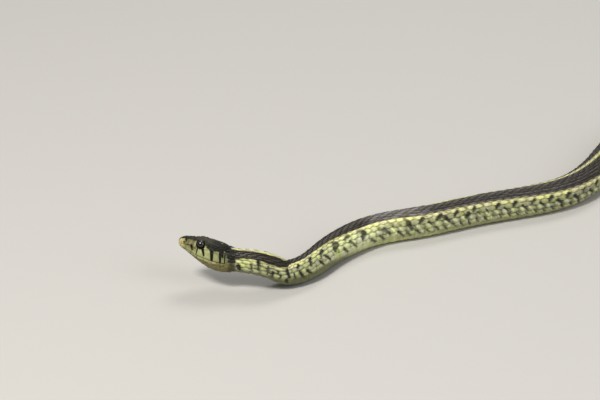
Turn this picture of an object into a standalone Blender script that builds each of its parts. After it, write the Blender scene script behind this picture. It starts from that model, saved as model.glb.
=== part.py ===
"""A life-size garter snake, still, in one pose: head lifted, one long trunk on the floor, tail at the far end.

Metres, +Z up, the belly on z = 0. Sizes below are in millimetres. Every point of the animal is
first placed in straight coordinates: s along the spine from the neck joint towards the tail (the head
is at negative s), y to the animal's left, z up from the belly line. place() bends them onto the path.
"""

import math

import bmesh
import bpy
import numpy as np
from mathutils import Matrix, Vector

MM = 0.001

# Path of the belly line: x, y and height above the floor, from the neck joint to the tip of the tail.
PATH_SHIFT = (-201.248, 4.924, 0.0)
WAYPOINTS = [
    (-23.8, -75.0, 7.3),
    (-12.5, -75.6, 5.1),
    (-8.5, -74.6, 2.5),
    (2.6, -67.1, 0.5),
    (8.5, -58.1, 0.0),
    (16.6, -47.6, 0.0),
    (29.5, -36.8, 0.0),
    (46.5, -30.2, 0.0),
    (65.0, -21.5, 0.0),
    (84.0, -14.0, 0.0),
    (105.0, -3.8, 0.0),
    (121.0, 17.0, 0.0),
    (133.0, 41.0, 0.0),
    (151.0, 60.0, 0.0),
    (175.0, 60.0, 0.0),
    (190.5, 41.0, 0.0),
    (196.0, 11.0, 0.0),
    (204.0, -17.0, 0.0),
    (220.0, -43.5, 0.0),
    (244.0, -54.0, 0.0),
    (267.0, -41.0, 0.0),
    (278.0, -13.0, 0.0),
    (288.0, 14.0, 0.0),
    (306.0, 37.0, 0.0),
    (332.0, 39.5, 0.0),
    (353.0, 21.0, 0.0),
    (367.0, -3.0, 0.0),
    (385.0, -21.0, 0.0),
    (407.0, -23.0, 0.0),
    (427.0, -11.5, 0.0),
    (450.0, -1.0, 0.0),
]
PATH_SAMPLES = 8001
SAMPLE_STEP = 0.25

# Turn of the head against the end of the neck, and its own roll.
HEAD_PITCH_DEG = 19.0
HEAD_YAW_DEG = 10.0
HEAD_ROLL_DEG = 12.0
NAPE_LENGTH = 6.0
ROLL_FADE = 30.0

HEAD_LENGTH = 24.0
SNOUT_MARGIN = 2.0
TAIL_TIP = 695.0
GAP = 0.3

# Width of the trunk and tail by distance from the neck joint.
WIDTHS = [
    (0, 9.1),
    (7, 10.1),
    (14, 10.2),
    (22, 9.9),
    (33, 10.4),
    (41, 11.1),
    (49, 11.8),
    (60, 12.2),
    (85, 12.6),
    (135, 12.5),
    (170, 13.1),
    (260, 15.0),
    (340, 15.1),
    (440, 13.7),
    (500, 11.8),
    (535, 10.3),
    (550, 9.4),
    (600, 6.7),
    (650, 3.7),
    (688, 1.5),
    (695, 1.1),
]
WIDTH_SMOOTHING = 8.0
SMOOTHING_SAMPLES = 17
HEIGHT_RATIO = 0.89
WIDEST_LEVEL = 0.47
BELLY_SWELL = 1.06
UPPER_POWER = 2.0
LOWER_POWER = 2.4

# The belly's broad plates, each raised at its trailing edge: angles of their points from straight
# down, segments of the ring over the back, depth of the step, and places of the rings on one plate.
PLATE_ANGLES_DEG = [-58.0, -40.0, -21.0, 0.0, 21.0, 40.0, 58.0]
BACK_SEGMENTS = 12
PLATE_STEP = 0.35
PLATE_FULL_WIDTH = 8.0
PLATE_AIM = 2.0
PLATE_STEP_SHARE = 0.03
PLATE_SLOPE_SHARE = 0.5

# Lengths of the animal, each a node: name, start, end and count of belly plates.
LENGTHS = [
    ("neck", 0.0, 42.0, 12),
    ("body_1", 42.0, 132.0, 17),
    ("body_2", 132.0, 230.0, 18),
    ("body_3", 230.0, 330.0, 19),
    ("body_4", 330.0, 435.0, 20),
    ("body_5", 435.0, 535.0, 19),
    ("tail_1", 535.0, 615.0, 16),
    ("tail_2", 615.0, 695.0, 18),
]
TIP_ROUNDING = 0.6
TIP_CLOSING = 0.6

# Head by distance forward of the neck joint: half width, top, bottom, level of the widest part,
# power of the upper and of the lower half, swell of the belly below its clipped flat.
HEAD_STATIONS = [
    (-2.0, 4.69, 8.35, 0.0, 3.92, 2.0, 2.4, 1.06),
    (0.0, 4.69, 8.35, 0.0, 3.92, 2.0, 2.4, 1.06),
    (2.8, 5.3, 8.55, -0.6, 3.95, 2.2, 2.2, 1.0),
    (6.2, 6.05, 8.7, -1.5, 3.7, 2.5, 2.1, 1.0),
    (9.5, 5.8, 8.6, -1.6, 3.4, 2.8, 2.1, 1.0),
    (12.6, 5.2, 8.4, -1.0, 3.2, 3.3, 2.1, 1.0),
    (15.0, 4.65, 8.1, -0.3, 3.2, 3.6, 2.1, 1.0),
    (17.0, 4.15, 7.7, 0.4, 3.2, 3.3, 2.1, 1.0),
    (19.2, 3.55, 7.1, 1.2, 3.3, 2.9, 2.1, 1.0),
    (21.5, 2.9, 6.4, 1.8, 3.5, 2.7, 2.1, 1.0),
    (23.0, 2.45, 5.9, 2.2, 3.7, 2.5, 2.1, 1.0),
    (24.0, 2.1, 5.6, 2.4, 3.8, 2.4, 2.1, 1.0),
]
HEAD_SMOOTHING = 0.9
SKIN_SAMPLES = 121
NORMAL_STEP = 0.1
SNOUT_CAP = 2.2
SNOUT_FLAT = 0.08
HEAD_RING_STEP = 1.1
HEAD_SIDES = 28
CAP_ANGLES_DEG = [8, 24, 40, 55, 68, 80, 90]

# Line of the mouth, x forward and z, from the snout to the corner and down behind the jaw.
MOUTH_LINE = [
    (25.6, 2.95),
    (23.2, 2.85),
    (21.4, 2.6),
    (18.0, 2.25),
    (15.0, 2.2),
    (12.0, 2.4),
    (9.0, 2.75),
    (6.6, 3.15),
    (4.9, 3.5),
    (3.6, 2.4),
    (2.4, 0.2),
    (1.4, -4.0),
]

MOUTH_CORNER = 4.9
MOUTH_REACH = 9.0
RIBBON_STRIPS = 10

EYE_AT = (15.7, 3.3, 6.5)
EYE_RADII = (1.5, 1.3, 1.4)
EYE_TURN_DEG = 12.0
EYE_ACROSS = 20
EYE_DOWN = 12
NOSTRIL_AT = (21.9, 2.65, 4.75)
NOSTRIL_RADII = (0.5, 0.4, 0.4)
NOSTRIL_ACROSS = 12
NOSTRIL_DOWN = 8

# The head's shields, each an outline of (x forward, distance t over the skin from the middle of
# the back) on the left side; those that start at t = 0 are mirrored into one shield.
SHIELD_GAP = 0.13
SHIELD_HEIGHT = 0.2
SHIELD_BEVEL = 0.22
SHIELD_RIM_SHARE = 0.35
SHIELD_SIDE = 2.4
SHIELD_ROOT = 0.45
BROW_HEIGHT = 0.34
FRONTAL = [(18.7, 0.0), (18.5, 1.45), (16.2, 1.2), (14.6, 1.25), (12.9, 0.0)]
PAIRED_TOP_SHIELDS = [
    ("internasal", [(23.0, 0.0), (22.8, 1.0), (21.9, 1.75), (21.1, 1.55), (21.2, 0.0)]),
    ("prefrontal", [(21.2, 0.0), (21.1, 1.55), (20.8, 2.7), (18.7, 2.9), (18.5, 1.45), (18.7, 0.0)]),
    (
        "parietal",
        [(12.9, 0.0), (14.6, 1.25), (13.9, 3.0), (12.4, 4.1), (9.0, 4.0), (6.9, 2.4), (6.0, 0.6), (6.3, 0.0)],
    ),
]
BROW_SHIELD = [
    (18.3, 1.6),
    (18.5, 2.9),
    (17.2, 3.5),
    (15.5, 3.75),
    (13.6, 3.6),
    (13.9, 2.9),
    (14.6, 1.3),
    (16.2, 1.25),
]
SIDE_SHIELDS = [
    ("nasal", [(22.9, 1.1), (22.6, 2.6), (21.0, 3.4), (20.2, 3.2), (20.8, 2.7), (21.9, 1.8)]),
    ("loreal", [(20.5, 2.95), (20.2, 4.3), (18.6, 4.6), (18.6, 3.0)]),
    ("preocular", [(18.5, 3.1), (18.5, 5.4), (17.5, 5.9), (17.3, 3.9)]),
    ("temporal_1", [(12.3, 4.2), (12.5, 6.6), (9.8, 6.5), (9.3, 4.2)]),
    ("temporal_2", [(9.2, 4.1), (9.7, 6.4), (7.2, 6.3), (7.0, 2.7)]),
]

# Lip plates: places of their ends along the mouth, and their height over the skin from the mouth line.
UPPER_LIP_ENDS = [23.0, 20.6, 17.8, 16.0, 13.1, 9.6, 6.5, 4.7]
UPPER_LIP_HEIGHTS = [1.4, 1.5, 1.6, 1.6, 1.9, 2.2, 2.0]
LOWER_LIP_ENDS = [22.8, 20.6, 18.2, 15.6, 12.8, 9.6, 6.6, 4.9]
LOWER_LIP_HEIGHTS = [1.0, 1.2, 1.3, 1.4, 1.5, 1.6, 1.5]
LIP_HEIGHT = 0.16
LIP_MARGIN = 0.28
LIP_LEAN = 0.45
LEAN_FRONT = 19.0
LEAN_SPAN = 5.0
BISECTIONS = 30
ROSTRAL = [(0.0, 3.2), (1.0, 3.3), (1.2, 4.0), (0.6, 4.9), (0.0, 5.05)]

SKIN_COLOUR = (0.10, 0.11, 0.05)
SKIN_ROUGHNESS = 0.45
EYE_COLOUR = (0.01, 0.008, 0.012)
EYE_ROUGHNESS = 0.1


def natural_spline(points):
    """A function of the chord length that passes through the points, and the chord lengths."""
    points = np.array(points, float)
    steps = np.linalg.norm(np.diff(points, axis=0), axis=1)
    knots = np.concatenate([[0.0], np.cumsum(steps)])
    count = len(points)
    system = np.eye(count)
    right = np.zeros_like(points)
    for i in range(1, count - 1):
        system[i, i - 1] = steps[i - 1]
        system[i, i] = 2 * (steps[i - 1] + steps[i])
        system[i, i + 1] = steps[i]
        after = (points[i + 1] - points[i]) / steps[i]
        before = (points[i] - points[i - 1]) / steps[i - 1]
        right[i] = 6 * (after - before)
    bend = np.linalg.solve(system, right)

    def at(where):
        i = np.clip(np.searchsorted(knots, where) - 1, 0, count - 2)
        step = steps[i][:, None]
        before = (knots[i + 1] - where)[:, None]
        after = (where - knots[i])[:, None]
        curve = (bend[i] * before**3 + bend[i + 1] * after**3) / (6 * step)
        line = (points[i] / step - bend[i] * step / 6) * before
        return curve + line + (points[i + 1] / step - bend[i + 1] * step / 6) * after

    return at, knots


def smooth(value):
    value = np.clip(value, 0.0, 1.0)
    return value * value * (3 - 2 * value)


def unit(vectors):
    return vectors / np.linalg.norm(vectors, axis=-1, keepdims=True)


def sampled_path():
    """Distances along the animal from the snout to the tail, the belly line's points and its directions."""
    at, knots = natural_spline(WAYPOINTS)
    fine = at(np.linspace(0.0, knots[-1], PATH_SAMPLES)) + np.array(PATH_SHIFT)
    fine[:, 2] = np.maximum(fine[:, 2], 0.0)
    along = np.concatenate([[0.0], np.cumsum(np.linalg.norm(np.diff(fine, axis=0), axis=1))])
    rest = np.arange(0.0, along[-1], SAMPLE_STEP)
    body = np.stack([np.interp(rest, along, fine[:, k]) for k in range(3)], axis=1)
    forward = -unit(np.gradient(body, axis=0))
    pitch = math.radians(HEAD_PITCH_DEG)
    yaw = math.radians(HEAD_YAW_DEG)
    level = math.cos(pitch)
    skull = np.array([-level * math.cos(yaw), level * math.sin(yaw), math.sin(pitch)])
    ahead = np.arange(SAMPLE_STEP, HEAD_LENGTH + SNOUT_MARGIN, SAMPLE_STEP)
    mix = smooth(ahead / NAPE_LENGTH)[:, None]
    towards = unit(forward[0] * (1 - mix) + skull * mix)
    head = body[0] + np.cumsum(towards, axis=0) * SAMPLE_STEP
    s = np.concatenate([-ahead[::-1], rest])
    return s, np.concatenate([head[::-1], body]), np.concatenate([towards[::-1], forward])


PATH_S, PATH_POINTS, PATH_FORWARD = sampled_path()


def place(straight):
    """World points in metres of straight coordinates in millimetres."""
    straight = np.atleast_2d(np.array(straight, float))
    s = straight[:, 0]
    base = np.stack([np.interp(s, PATH_S, PATH_POINTS[:, k]) for k in range(3)], axis=1)
    forward = unit(np.stack([np.interp(s, PATH_S, PATH_FORWARD[:, k]) for k in range(3)], axis=1))
    left = unit(np.cross([0.0, 0.0, 1.0], forward))
    up = np.cross(forward, left)
    roll = np.radians(HEAD_ROLL_DEG) * (1 - smooth(s / ROLL_FADE))
    cosine = np.cos(roll)[:, None]
    sine = np.sin(roll)[:, None]
    left, up = left * cosine + up * sine, up * cosine - left * sine
    return (base + left * straight[:, 1:2] + up * straight[:, 2:3]) * MM


def width_at(s):
    spread = np.linspace(-WIDTH_SMOOTHING, WIDTH_SMOOTHING, SMOOTHING_SAMPLES)
    table = np.array(WIDTHS, float)
    return float(np.interp(s + spread, table[:, 0], table[:, 1]).mean())


def section(half_width, top, bottom, level, upper, lower, swell, angles):
    """Points (y, z) of a closed section, with its lower half swollen and then cut flat at the bottom."""
    points = []
    for angle in angles:
        cosine = math.cos(angle)
        sine = math.sin(angle)
        power = upper if sine >= 0 else lower
        reach = top - level if sine >= 0 else (level - bottom) * swell
        y = half_width * math.copysign(abs(cosine) ** (2 / power), cosine)
        z = level + reach * math.copysign(abs(sine) ** (2 / power), sine)
        points.append((y, max(z, bottom)))
    return points


def turn(sides):
    return [2 * math.pi * (k + 0.5) / sides for k in range(sides)]


def body_section(s, angles):
    half_width = width_at(s) / 2
    height = 2 * half_width * HEIGHT_RATIO
    level = WIDEST_LEVEL * height
    shape = section(half_width, height, 0.0, level, UPPER_POWER, LOWER_POWER, BELLY_SWELL, angles)
    past = max(0.0, (s - (TAIL_TIP - TIP_ROUNDING)) / TIP_ROUNDING)
    keep = 1.0 - TIP_CLOSING * past * past
    return [(y * keep, z * keep) for y, z in shape]


def belly_ring(s, recess):
    """The belly's part of a section, drawn in by recess except at its two ends."""
    angles = [math.radians(angle - 90.0) for angle in PLATE_ANGLES_DEG]
    points = body_section(s, angles)
    scale = min(1.0, width_at(s) / PLATE_FULL_WIDTH)
    middle = sum(z for _, z in points) / len(points) + PLATE_AIM
    ring = []
    for k, (y, z) in enumerate(points):
        inner = recess * scale if 0 < k < len(points) - 1 else 0.0
        along = math.hypot(y, middle - z)
        sideways = 0.0 if z <= 0 else y / along
        upwards = 1.0 if z <= 0 else (middle - z) / along
        ring.append((s, y - sideways * inner, z + upwards * inner))
    return ring


def back_ring(s):
    """The rest of a section, over the back, without the two points where it meets the belly."""
    start = PLATE_ANGLES_DEG[-1] - 90.0
    span = 360.0 - (PLATE_ANGLES_DEG[-1] - PLATE_ANGLES_DEG[0])
    steps = range(1, BACK_SEGMENTS)
    angles = [math.radians(start + span * k / BACK_SEGMENTS) for k in steps]
    return [(s, y, z) for y, z in body_section(s, angles)]


def plated_length(name, start, end, plates):
    """A length of the trunk or tail: one ring over the back for each belly plate, three rings under it."""
    first = start + GAP / 2
    last = end - GAP / 2 if end < TAIL_TIP else end
    pitch = (last - first) / plates
    bm = bmesh.new()

    def verts(points):
        return [bm.verts.new(point) for point in points]

    before_belly = None
    before_back = None
    for k in range(plates):
        head_end = first + k * pitch
        tail_end = head_end + pitch
        step_end = head_end + pitch * PLATE_STEP_SHARE * (k > 0)
        slope_end = head_end + pitch * PLATE_SLOPE_SHARE
        starts = verts(belly_ring(step_end, PLATE_STEP))
        sloped = verts(belly_ring(slope_end, 0.0))
        ends = verts(belly_ring(tail_end, 0.0))
        if before_belly is None:
            first_belly = starts
            before_back = verts(back_ring(head_end))
            first_back = before_back
            rings = [starts, sloped, ends]
        else:
            rings = [before_belly, starts, sloped, ends]
        back = verts(back_ring(tail_end))
        for one, other in zip(rings, rings[1:]):
            for j in range(len(one) - 1):
                bm.faces.new((one[j], one[j + 1], other[j + 1], other[j]))
        for j in range(len(back) - 1):
            bm.faces.new((before_back[j], before_back[j + 1], back[j + 1], back[j]))
        bm.faces.new([ring[-1] for ring in rings] + [back[0], before_back[0]])
        bm.faces.new([ring[0] for ring in reversed(rings)] + [before_back[-1], back[-1]])
        before_belly = ends
        before_back = back
    bm.faces.new(first_belly + first_back)
    bm.faces.new(before_belly + before_back)
    return mesh_object(name, bm)


def head_shape(x):
    """The head's section sizes at x. Over the last of the snout it closes in on its middle height."""
    table = np.array(HEAD_STATIONS)
    near = x + np.linspace(-HEAD_SMOOTHING, HEAD_SMOOTHING, SMOOTHING_SAMPLES)
    sizes = [float(np.interp(near, table[:, 0], table[:, k]).mean()) for k in range(1, table.shape[1])]
    half_width, top, bottom, level = sizes[:4]
    past = max(0.0, (x - (HEAD_LENGTH - SNOUT_CAP)) / SNOUT_CAP)
    keep = SNOUT_FLAT + (1 - SNOUT_FLAT) * math.sqrt(max(0.0, 1 - past * past))
    middle = (top + bottom) / 2
    closed = [half_width * keep] + [middle + (height - middle) * keep for height in (top, bottom, level)]
    return closed + sizes[4:]


def head_ring(x):
    return [(-x, y, z) for y, z in section(*head_shape(x), turn(HEAD_SIDES))]


def over_the_skin(x):
    """Distance over the skin from the middle of the head's back, with y and z, down its left side."""
    angles = np.radians(np.linspace(90.0, -90.0, SKIN_SAMPLES))
    points = np.array(section(*head_shape(x), angles))
    points[:, 0] = np.abs(points[:, 0])
    steps = np.linalg.norm(np.diff(points, axis=0), axis=1)
    return np.concatenate([[0.0], np.cumsum(steps)]), points[:, 0], points[:, 1]


def skin_point(x, t, side, lift):
    """A point that stands off the head's skin by lift."""

    def flat(x, t):
        along, y, z = over_the_skin(x)
        return np.array([-x, side * np.interp(t, along, y), np.interp(t, along, z)])

    across = flat(x, t + NORMAL_STEP) - flat(x, max(0.0, t - NORMAL_STEP))
    along = flat(x + NORMAL_STEP, t) - flat(x - NORMAL_STEP, t)
    normal = unit(np.cross(across, along)) * side
    if t < NORMAL_STEP:
        normal = unit(normal * np.array([1.0, 0.0, 1.0]))
    return flat(x, t) + normal * lift


def drop_at_mouth(x):
    """Distance over the skin from the middle of the back down to the line of the mouth."""
    line = np.array([point for point in MOUTH_LINE if point[0] >= MOUTH_CORNER])[::-1]
    along, _, z = over_the_skin(x)
    return float(np.interp(-np.interp(x, line[:, 0], line[:, 1]), -z, along))


def front_point(y, z, lift):
    """A point ahead of the snout's skin, found along x."""
    near = HEAD_LENGTH - SNOUT_CAP
    far = HEAD_LENGTH
    for _ in range(BISECTIONS):
        x = (near + far) / 2
        half_width, top, bottom, level, upper, lower, _ = head_shape(x)
        power = upper if z > level else lower
        reach = top - level if z > level else level - bottom
        inside = (abs(y) / half_width) ** power + (abs(z - level) / reach) ** power < 1
        near, far = (x, far) if inside else (near, x)
    return np.array([-near - lift, y, z])


def inset(outline, by):
    """A closed outline moved inwards by a distance at each side."""
    points = np.array(outline, float)
    area = np.sum(points[:, 0] * np.roll(points[:, 1], -1) - np.roll(points[:, 0], -1) * points[:, 1])
    turned = math.copysign(1.0, area)
    before = unit(points - np.roll(points, 1, axis=0))
    after = unit(np.roll(points, -1, axis=0) - points)
    inward_before = np.stack([-before[:, 1], before[:, 0]], axis=1) * turned
    inward_after = np.stack([-after[:, 1], after[:, 0]], axis=1) * turned
    corner = inward_before + inward_after
    length = np.maximum(1.0, (corner * corner).sum(axis=1))
    return points + corner / length[:, None] * by


def shield(name, outline, raised, lift=SHIELD_HEIGHT, shrink=SHIELD_GAP / 2):
    """A plate with sloped sides, its root sunk in the head. raised(u, v, lift) gives its points."""
    edge = inset(outline, shrink)
    crown = inset(edge, SHIELD_BEVEL)
    middle = crown.mean(axis=0)
    bm = bmesh.new()
    root = [bm.verts.new(raised(u, v, -SHIELD_ROOT)) for u, v in edge]
    rim = [bm.verts.new(raised(u, v, lift * SHIELD_RIM_SHARE)) for u, v in edge]
    top = [bm.verts.new(raised(u, v, lift)) for u, v in crown]
    below = bm.verts.new(raised(*middle, -SHIELD_ROOT))
    above = bm.verts.new(raised(*middle, lift))
    count = len(edge)
    for k in range(count):
        j = (k + 1) % count
        bm.faces.new((root[k], root[j], below))
        bm.faces.new((root[k], rim[k], rim[j], root[j]))
        bm.faces.new((rim[k], top[k], top[j], rim[j]))
        bm.faces.new((top[k], above, top[j]))
    return mesh_object(name, bm)


def subdivided(outline, longest):
    """The outline with points added so that no side is longer than longest."""
    points = []
    for k, here in enumerate(outline):
        there = outline[(k + 1) % len(outline)]
        pieces = max(1, math.ceil(math.dist(here, there) / longest))
        for j in range(pieces):
            share = j / pieces
            points.append((here[0] + (there[0] - here[0]) * share, here[1] + (there[1] - here[1]) * share))
    return points


def mirrored_outline(outline):
    """An outline that starts and ends on t = 0, closed by its mirror image."""
    return outline + [(x, -t) for x, t in reversed(outline) if t > 0]


def on_head(side):
    def raised(x, t, lift):
        flip = side if t >= 0 else -side
        return skin_point(x, abs(t), flip, lift)

    return raised


def lip_outline(start, end, height, upper):
    """Outline of a lip plate between two places along the mouth, on one side of its line."""
    sign = -1.0 if upper else 1.0
    lean = LIP_LEAN if upper else 0.0
    outline = []
    for x in (start, (start + end) / 2, end):
        outline.append((x, drop_at_mouth(x) + sign * LIP_MARGIN))
    for x in (end, (start + end) / 2, start):
        forward = lean * height * min(1.0, max(0.0, (LEAN_FRONT - x) / LEAN_SPAN))
        outline.append((x + forward, drop_at_mouth(x + forward) + sign * height))
    return outline


def head_shields():
    plates = [shield("frontal", subdivided(mirrored_outline(FRONTAL), SHIELD_SIDE), on_head(1))]
    rostral = ROSTRAL + [(-y, z) for y, z in reversed(ROSTRAL) if y > 0]
    plates.append(shield("rostral", rostral, lambda y, z, lift: front_point(y, z, lift)))
    for side in (1, -1):
        for name, outline in PAIRED_TOP_SHIELDS + SIDE_SHIELDS:
            plates.append(shield(name, subdivided(outline, SHIELD_SIDE), on_head(side)))
        plates.append(shield("brow", BROW_SHIELD, on_head(side), BROW_HEIGHT))
        for k, height in enumerate(UPPER_LIP_HEIGHTS):
            outline = lip_outline(UPPER_LIP_ENDS[k], UPPER_LIP_ENDS[k + 1], height, True)
            plates.append(shield("upper_lip", outline, on_head(side), LIP_HEIGHT))
        for k, height in enumerate(LOWER_LIP_HEIGHTS):
            outline = lip_outline(LOWER_LIP_ENDS[k], LOWER_LIP_ENDS[k + 1], height, False)
            plates.append(shield("lower_lip", outline, on_head(side), LIP_HEIGHT))
    return plates


def mesh_object(name, bm):
    bm.normal_update()
    bmesh.ops.recalc_face_normals(bm, faces=bm.faces)
    mesh = bpy.data.meshes.new(name)
    bm.to_mesh(mesh)
    bm.free()
    obj = bpy.data.objects.new(name, mesh)
    bpy.context.scene.collection.objects.link(obj)
    return obj


def lofted(name, rings):
    """A closed body through rings of points, left in straight coordinates."""
    bm = bmesh.new()
    loops = [[bm.verts.new(point) for point in ring] for ring in rings]
    for before, after in zip(loops, loops[1:]):
        for k in range(len(before)):
            k_next = (k + 1) % len(before)
            bm.faces.new((before[k], before[k_next], after[k_next], after[k]))
    bm.faces.new(loops[0])
    bm.faces.new(loops[-1])
    return mesh_object(name, bm)


def ellipsoid(name, side, at, radii, turned=0.0, across=EYE_ACROSS, down=EYE_DOWN):
    """A ball with its poles facing out of one side of the head, turned forward by an angle."""
    centre = Vector((-at[0], side * at[1], at[2]))
    swing = Matrix.Rotation(side * turned, 3, "Z")
    bm = bmesh.new()
    bmesh.ops.create_uvsphere(bm, u_segments=across, v_segments=down, radius=1.0)
    for vertex in bm.verts:
        off = Vector((vertex.co.x * radii[0], vertex.co.z * radii[1], vertex.co.y * radii[2]))
        vertex.co = centre + swing @ off
    return mesh_object(name, bm)


def joined(obj, pieces):
    """Joins closed pieces to the object by one union and removes them."""
    group = bpy.data.collections.new("pieces")
    for piece in pieces:
        group.objects.link(piece)
    modifier = obj.modifiers.new("join", "BOOLEAN")
    modifier.operation = "UNION"
    modifier.operand_type = "COLLECTION"
    modifier.solver = "EXACT"
    modifier.collection = group
    graph = bpy.context.evaluated_depsgraph_get()
    fused = bpy.data.meshes.new_from_object(obj.evaluated_get(graph))
    obj.modifiers.clear()
    obj.data = fused
    for piece in pieces:
        bpy.data.objects.remove(piece)
    bpy.data.collections.remove(group)


def ribbon_cutter(name, line, half_reach, thickness):
    """A thin band that follows a line in the (x, z) plane of the head, across the whole head."""
    points = np.array(line, float)
    along = unit(np.gradient(points, axis=0))
    normal = np.stack([-along[:, 1], along[:, 0]], axis=1) * thickness / 2
    one = points + normal
    other = points - normal
    outline = np.concatenate([one, other[::-1]])
    bm = bmesh.new()
    sides = []
    for y in np.linspace(-half_reach, half_reach, RIBBON_STRIPS + 1):
        sides.append([bm.verts.new((-x, y, z)) for x, z in outline])
    count = len(outline)
    pairs = len(points)
    for one, other in zip(sides, sides[1:]):
        for k in range(count):
            k_next = (k + 1) % count
            bm.faces.new((one[k], one[k_next], other[k_next], other[k]))
    for side in (sides[0], sides[-1]):
        for k in range(pairs - 1):
            bm.faces.new((side[k], side[k + 1], side[count - 2 - k], side[count - 1 - k]))
    return mesh_object(name, bm)


def cut_away(obj, cutters):
    """Takes the cutters away from the object and removes them."""
    for cutter in cutters:
        modifier = obj.modifiers.new("cut", "BOOLEAN")
        modifier.operation = "DIFFERENCE"
        modifier.solver = "EXACT"
        modifier.object = cutter
        graph = bpy.context.evaluated_depsgraph_get()
        cut = bpy.data.meshes.new_from_object(obj.evaluated_get(graph))
        obj.modifiers.clear()
        obj.data = cut
        bpy.data.objects.remove(cutter)


def parts_by_size(obj):
    """The closed surfaces of an object as lists of face indices, largest first."""
    bm = bmesh.new()
    bm.from_mesh(obj.data)
    bm.faces.ensure_lookup_table()
    seen = set()
    groups = []
    for face in bm.faces:
        if face.index in seen:
            continue
        seen.add(face.index)
        stack = [face]
        group = []
        while stack:
            here = stack.pop()
            group.append(here.index)
            for edge in here.edges:
                for other in edge.link_faces:
                    if other.index not in seen:
                        seen.add(other.index)
                        stack.append(other)
        groups.append(group)
    bm.free()
    return sorted(groups, key=len, reverse=True)


def part_of(obj, name, faces):
    bm = bmesh.new()
    bm.from_mesh(obj.data)
    bm.faces.ensure_lookup_table()
    keep = set(faces)
    bmesh.ops.delete(bm, geom=[f for f in bm.faces if f.index not in keep], context="FACES")
    return mesh_object(name, bm)


def bend(obj):
    """Moves an object from straight coordinates, which are left-handed, to its place on the path."""
    straight = np.array([vertex.co[:] for vertex in obj.data.vertices])
    for vertex, point in zip(obj.data.vertices, place(straight)):
        vertex.co = point
    obj.data.flip_normals()


def finish(obj, colour, roughness):
    material = bpy.data.materials.new(obj.name)
    material.use_nodes = True
    shader = material.node_tree.nodes["Principled BSDF"]
    shader.inputs["Base Color"].default_value = (*colour, 1.0)
    shader.inputs["Roughness"].default_value = roughness
    obj.data.materials.clear()
    obj.data.materials.append(material)
    for polygon in obj.data.polygons:
        polygon.use_smooth = True


def main():
    for obj in list(bpy.data.objects):
        bpy.data.objects.remove(obj)

    for name, start, end, plates in LENGTHS:
        node = plated_length(name, start, end, plates)
        bend(node)
        finish(node, SKIN_COLOUR, SKIN_ROUGHNESS)

    before_cap = HEAD_LENGTH - SNOUT_CAP
    rings = [head_ring(x) for x in np.arange(GAP / 2, before_cap, HEAD_RING_STEP)]
    for angle in np.radians(CAP_ANGLES_DEG):
        rings.append(head_ring(before_cap + SNOUT_CAP * math.sin(angle)))
    whole = lofted("whole_head", rings)
    joined(whole, head_shields())
    cutters = []
    for side in (1, -1):
        socket = [radius + GAP for radius in EYE_RADII]
        cutters.append(ellipsoid("socket", side, EYE_AT, socket, math.radians(EYE_TURN_DEG)))
        cutters.append(ellipsoid("nostril", side, NOSTRIL_AT, NOSTRIL_RADII, 0.0, NOSTRIL_ACROSS, NOSTRIL_DOWN))
    cutters.append(ribbon_cutter("mouth", MOUTH_LINE, MOUTH_REACH, GAP))
    cut_away(whole, cutters)
    groups = parts_by_size(whole)
    head = part_of(whole, "head", groups[0])
    jaw = part_of(whole, "lower_jaw", groups[1])
    bpy.data.objects.remove(whole)
    for node in (head, jaw):
        bend(node)
        finish(node, SKIN_COLOUR, SKIN_ROUGHNESS)
    for side, name in ((1, "eye_left"), (-1, "eye_right")):
        eye = ellipsoid(name, side, EYE_AT, EYE_RADII, math.radians(EYE_TURN_DEG))
        bend(eye)
        finish(eye, EYE_COLOUR, EYE_ROUGHNESS)


main()
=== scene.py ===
"""The garter snake as it is seen: one skin, keeled scales over it, broad belly plates, and the eyes.

Sizes below are in millimetres. As in the part's source, a point is first placed in straight
coordinates: s along the spine from the neck joint towards the tail, y to the left, z up from the belly
line. On the head x = -s points forward. A place on the skin is given by s and a turn in degrees: 0 is
the left side, 90 the back, 180 the right side and -90 the belly, measured by distance over the skin.
A span is a pair of places: what it governs is 0 at the first and 1 at the second.
"""

import math

import bmesh
import bpy
import numpy as np
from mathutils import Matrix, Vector


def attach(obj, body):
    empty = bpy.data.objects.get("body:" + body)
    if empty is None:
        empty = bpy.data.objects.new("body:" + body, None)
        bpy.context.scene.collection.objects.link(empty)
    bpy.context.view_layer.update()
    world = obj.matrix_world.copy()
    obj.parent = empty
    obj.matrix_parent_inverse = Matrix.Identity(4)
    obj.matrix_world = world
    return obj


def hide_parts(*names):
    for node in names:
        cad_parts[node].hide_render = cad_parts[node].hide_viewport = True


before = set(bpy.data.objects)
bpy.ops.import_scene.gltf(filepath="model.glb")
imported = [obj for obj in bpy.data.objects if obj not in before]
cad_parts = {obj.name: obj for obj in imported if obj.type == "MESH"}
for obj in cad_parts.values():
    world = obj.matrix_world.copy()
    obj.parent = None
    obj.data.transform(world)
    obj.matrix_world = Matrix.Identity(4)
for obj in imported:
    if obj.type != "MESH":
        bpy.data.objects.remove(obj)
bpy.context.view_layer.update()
MM = 0.001
CHANCE = np.random.default_rng(7)

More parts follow.
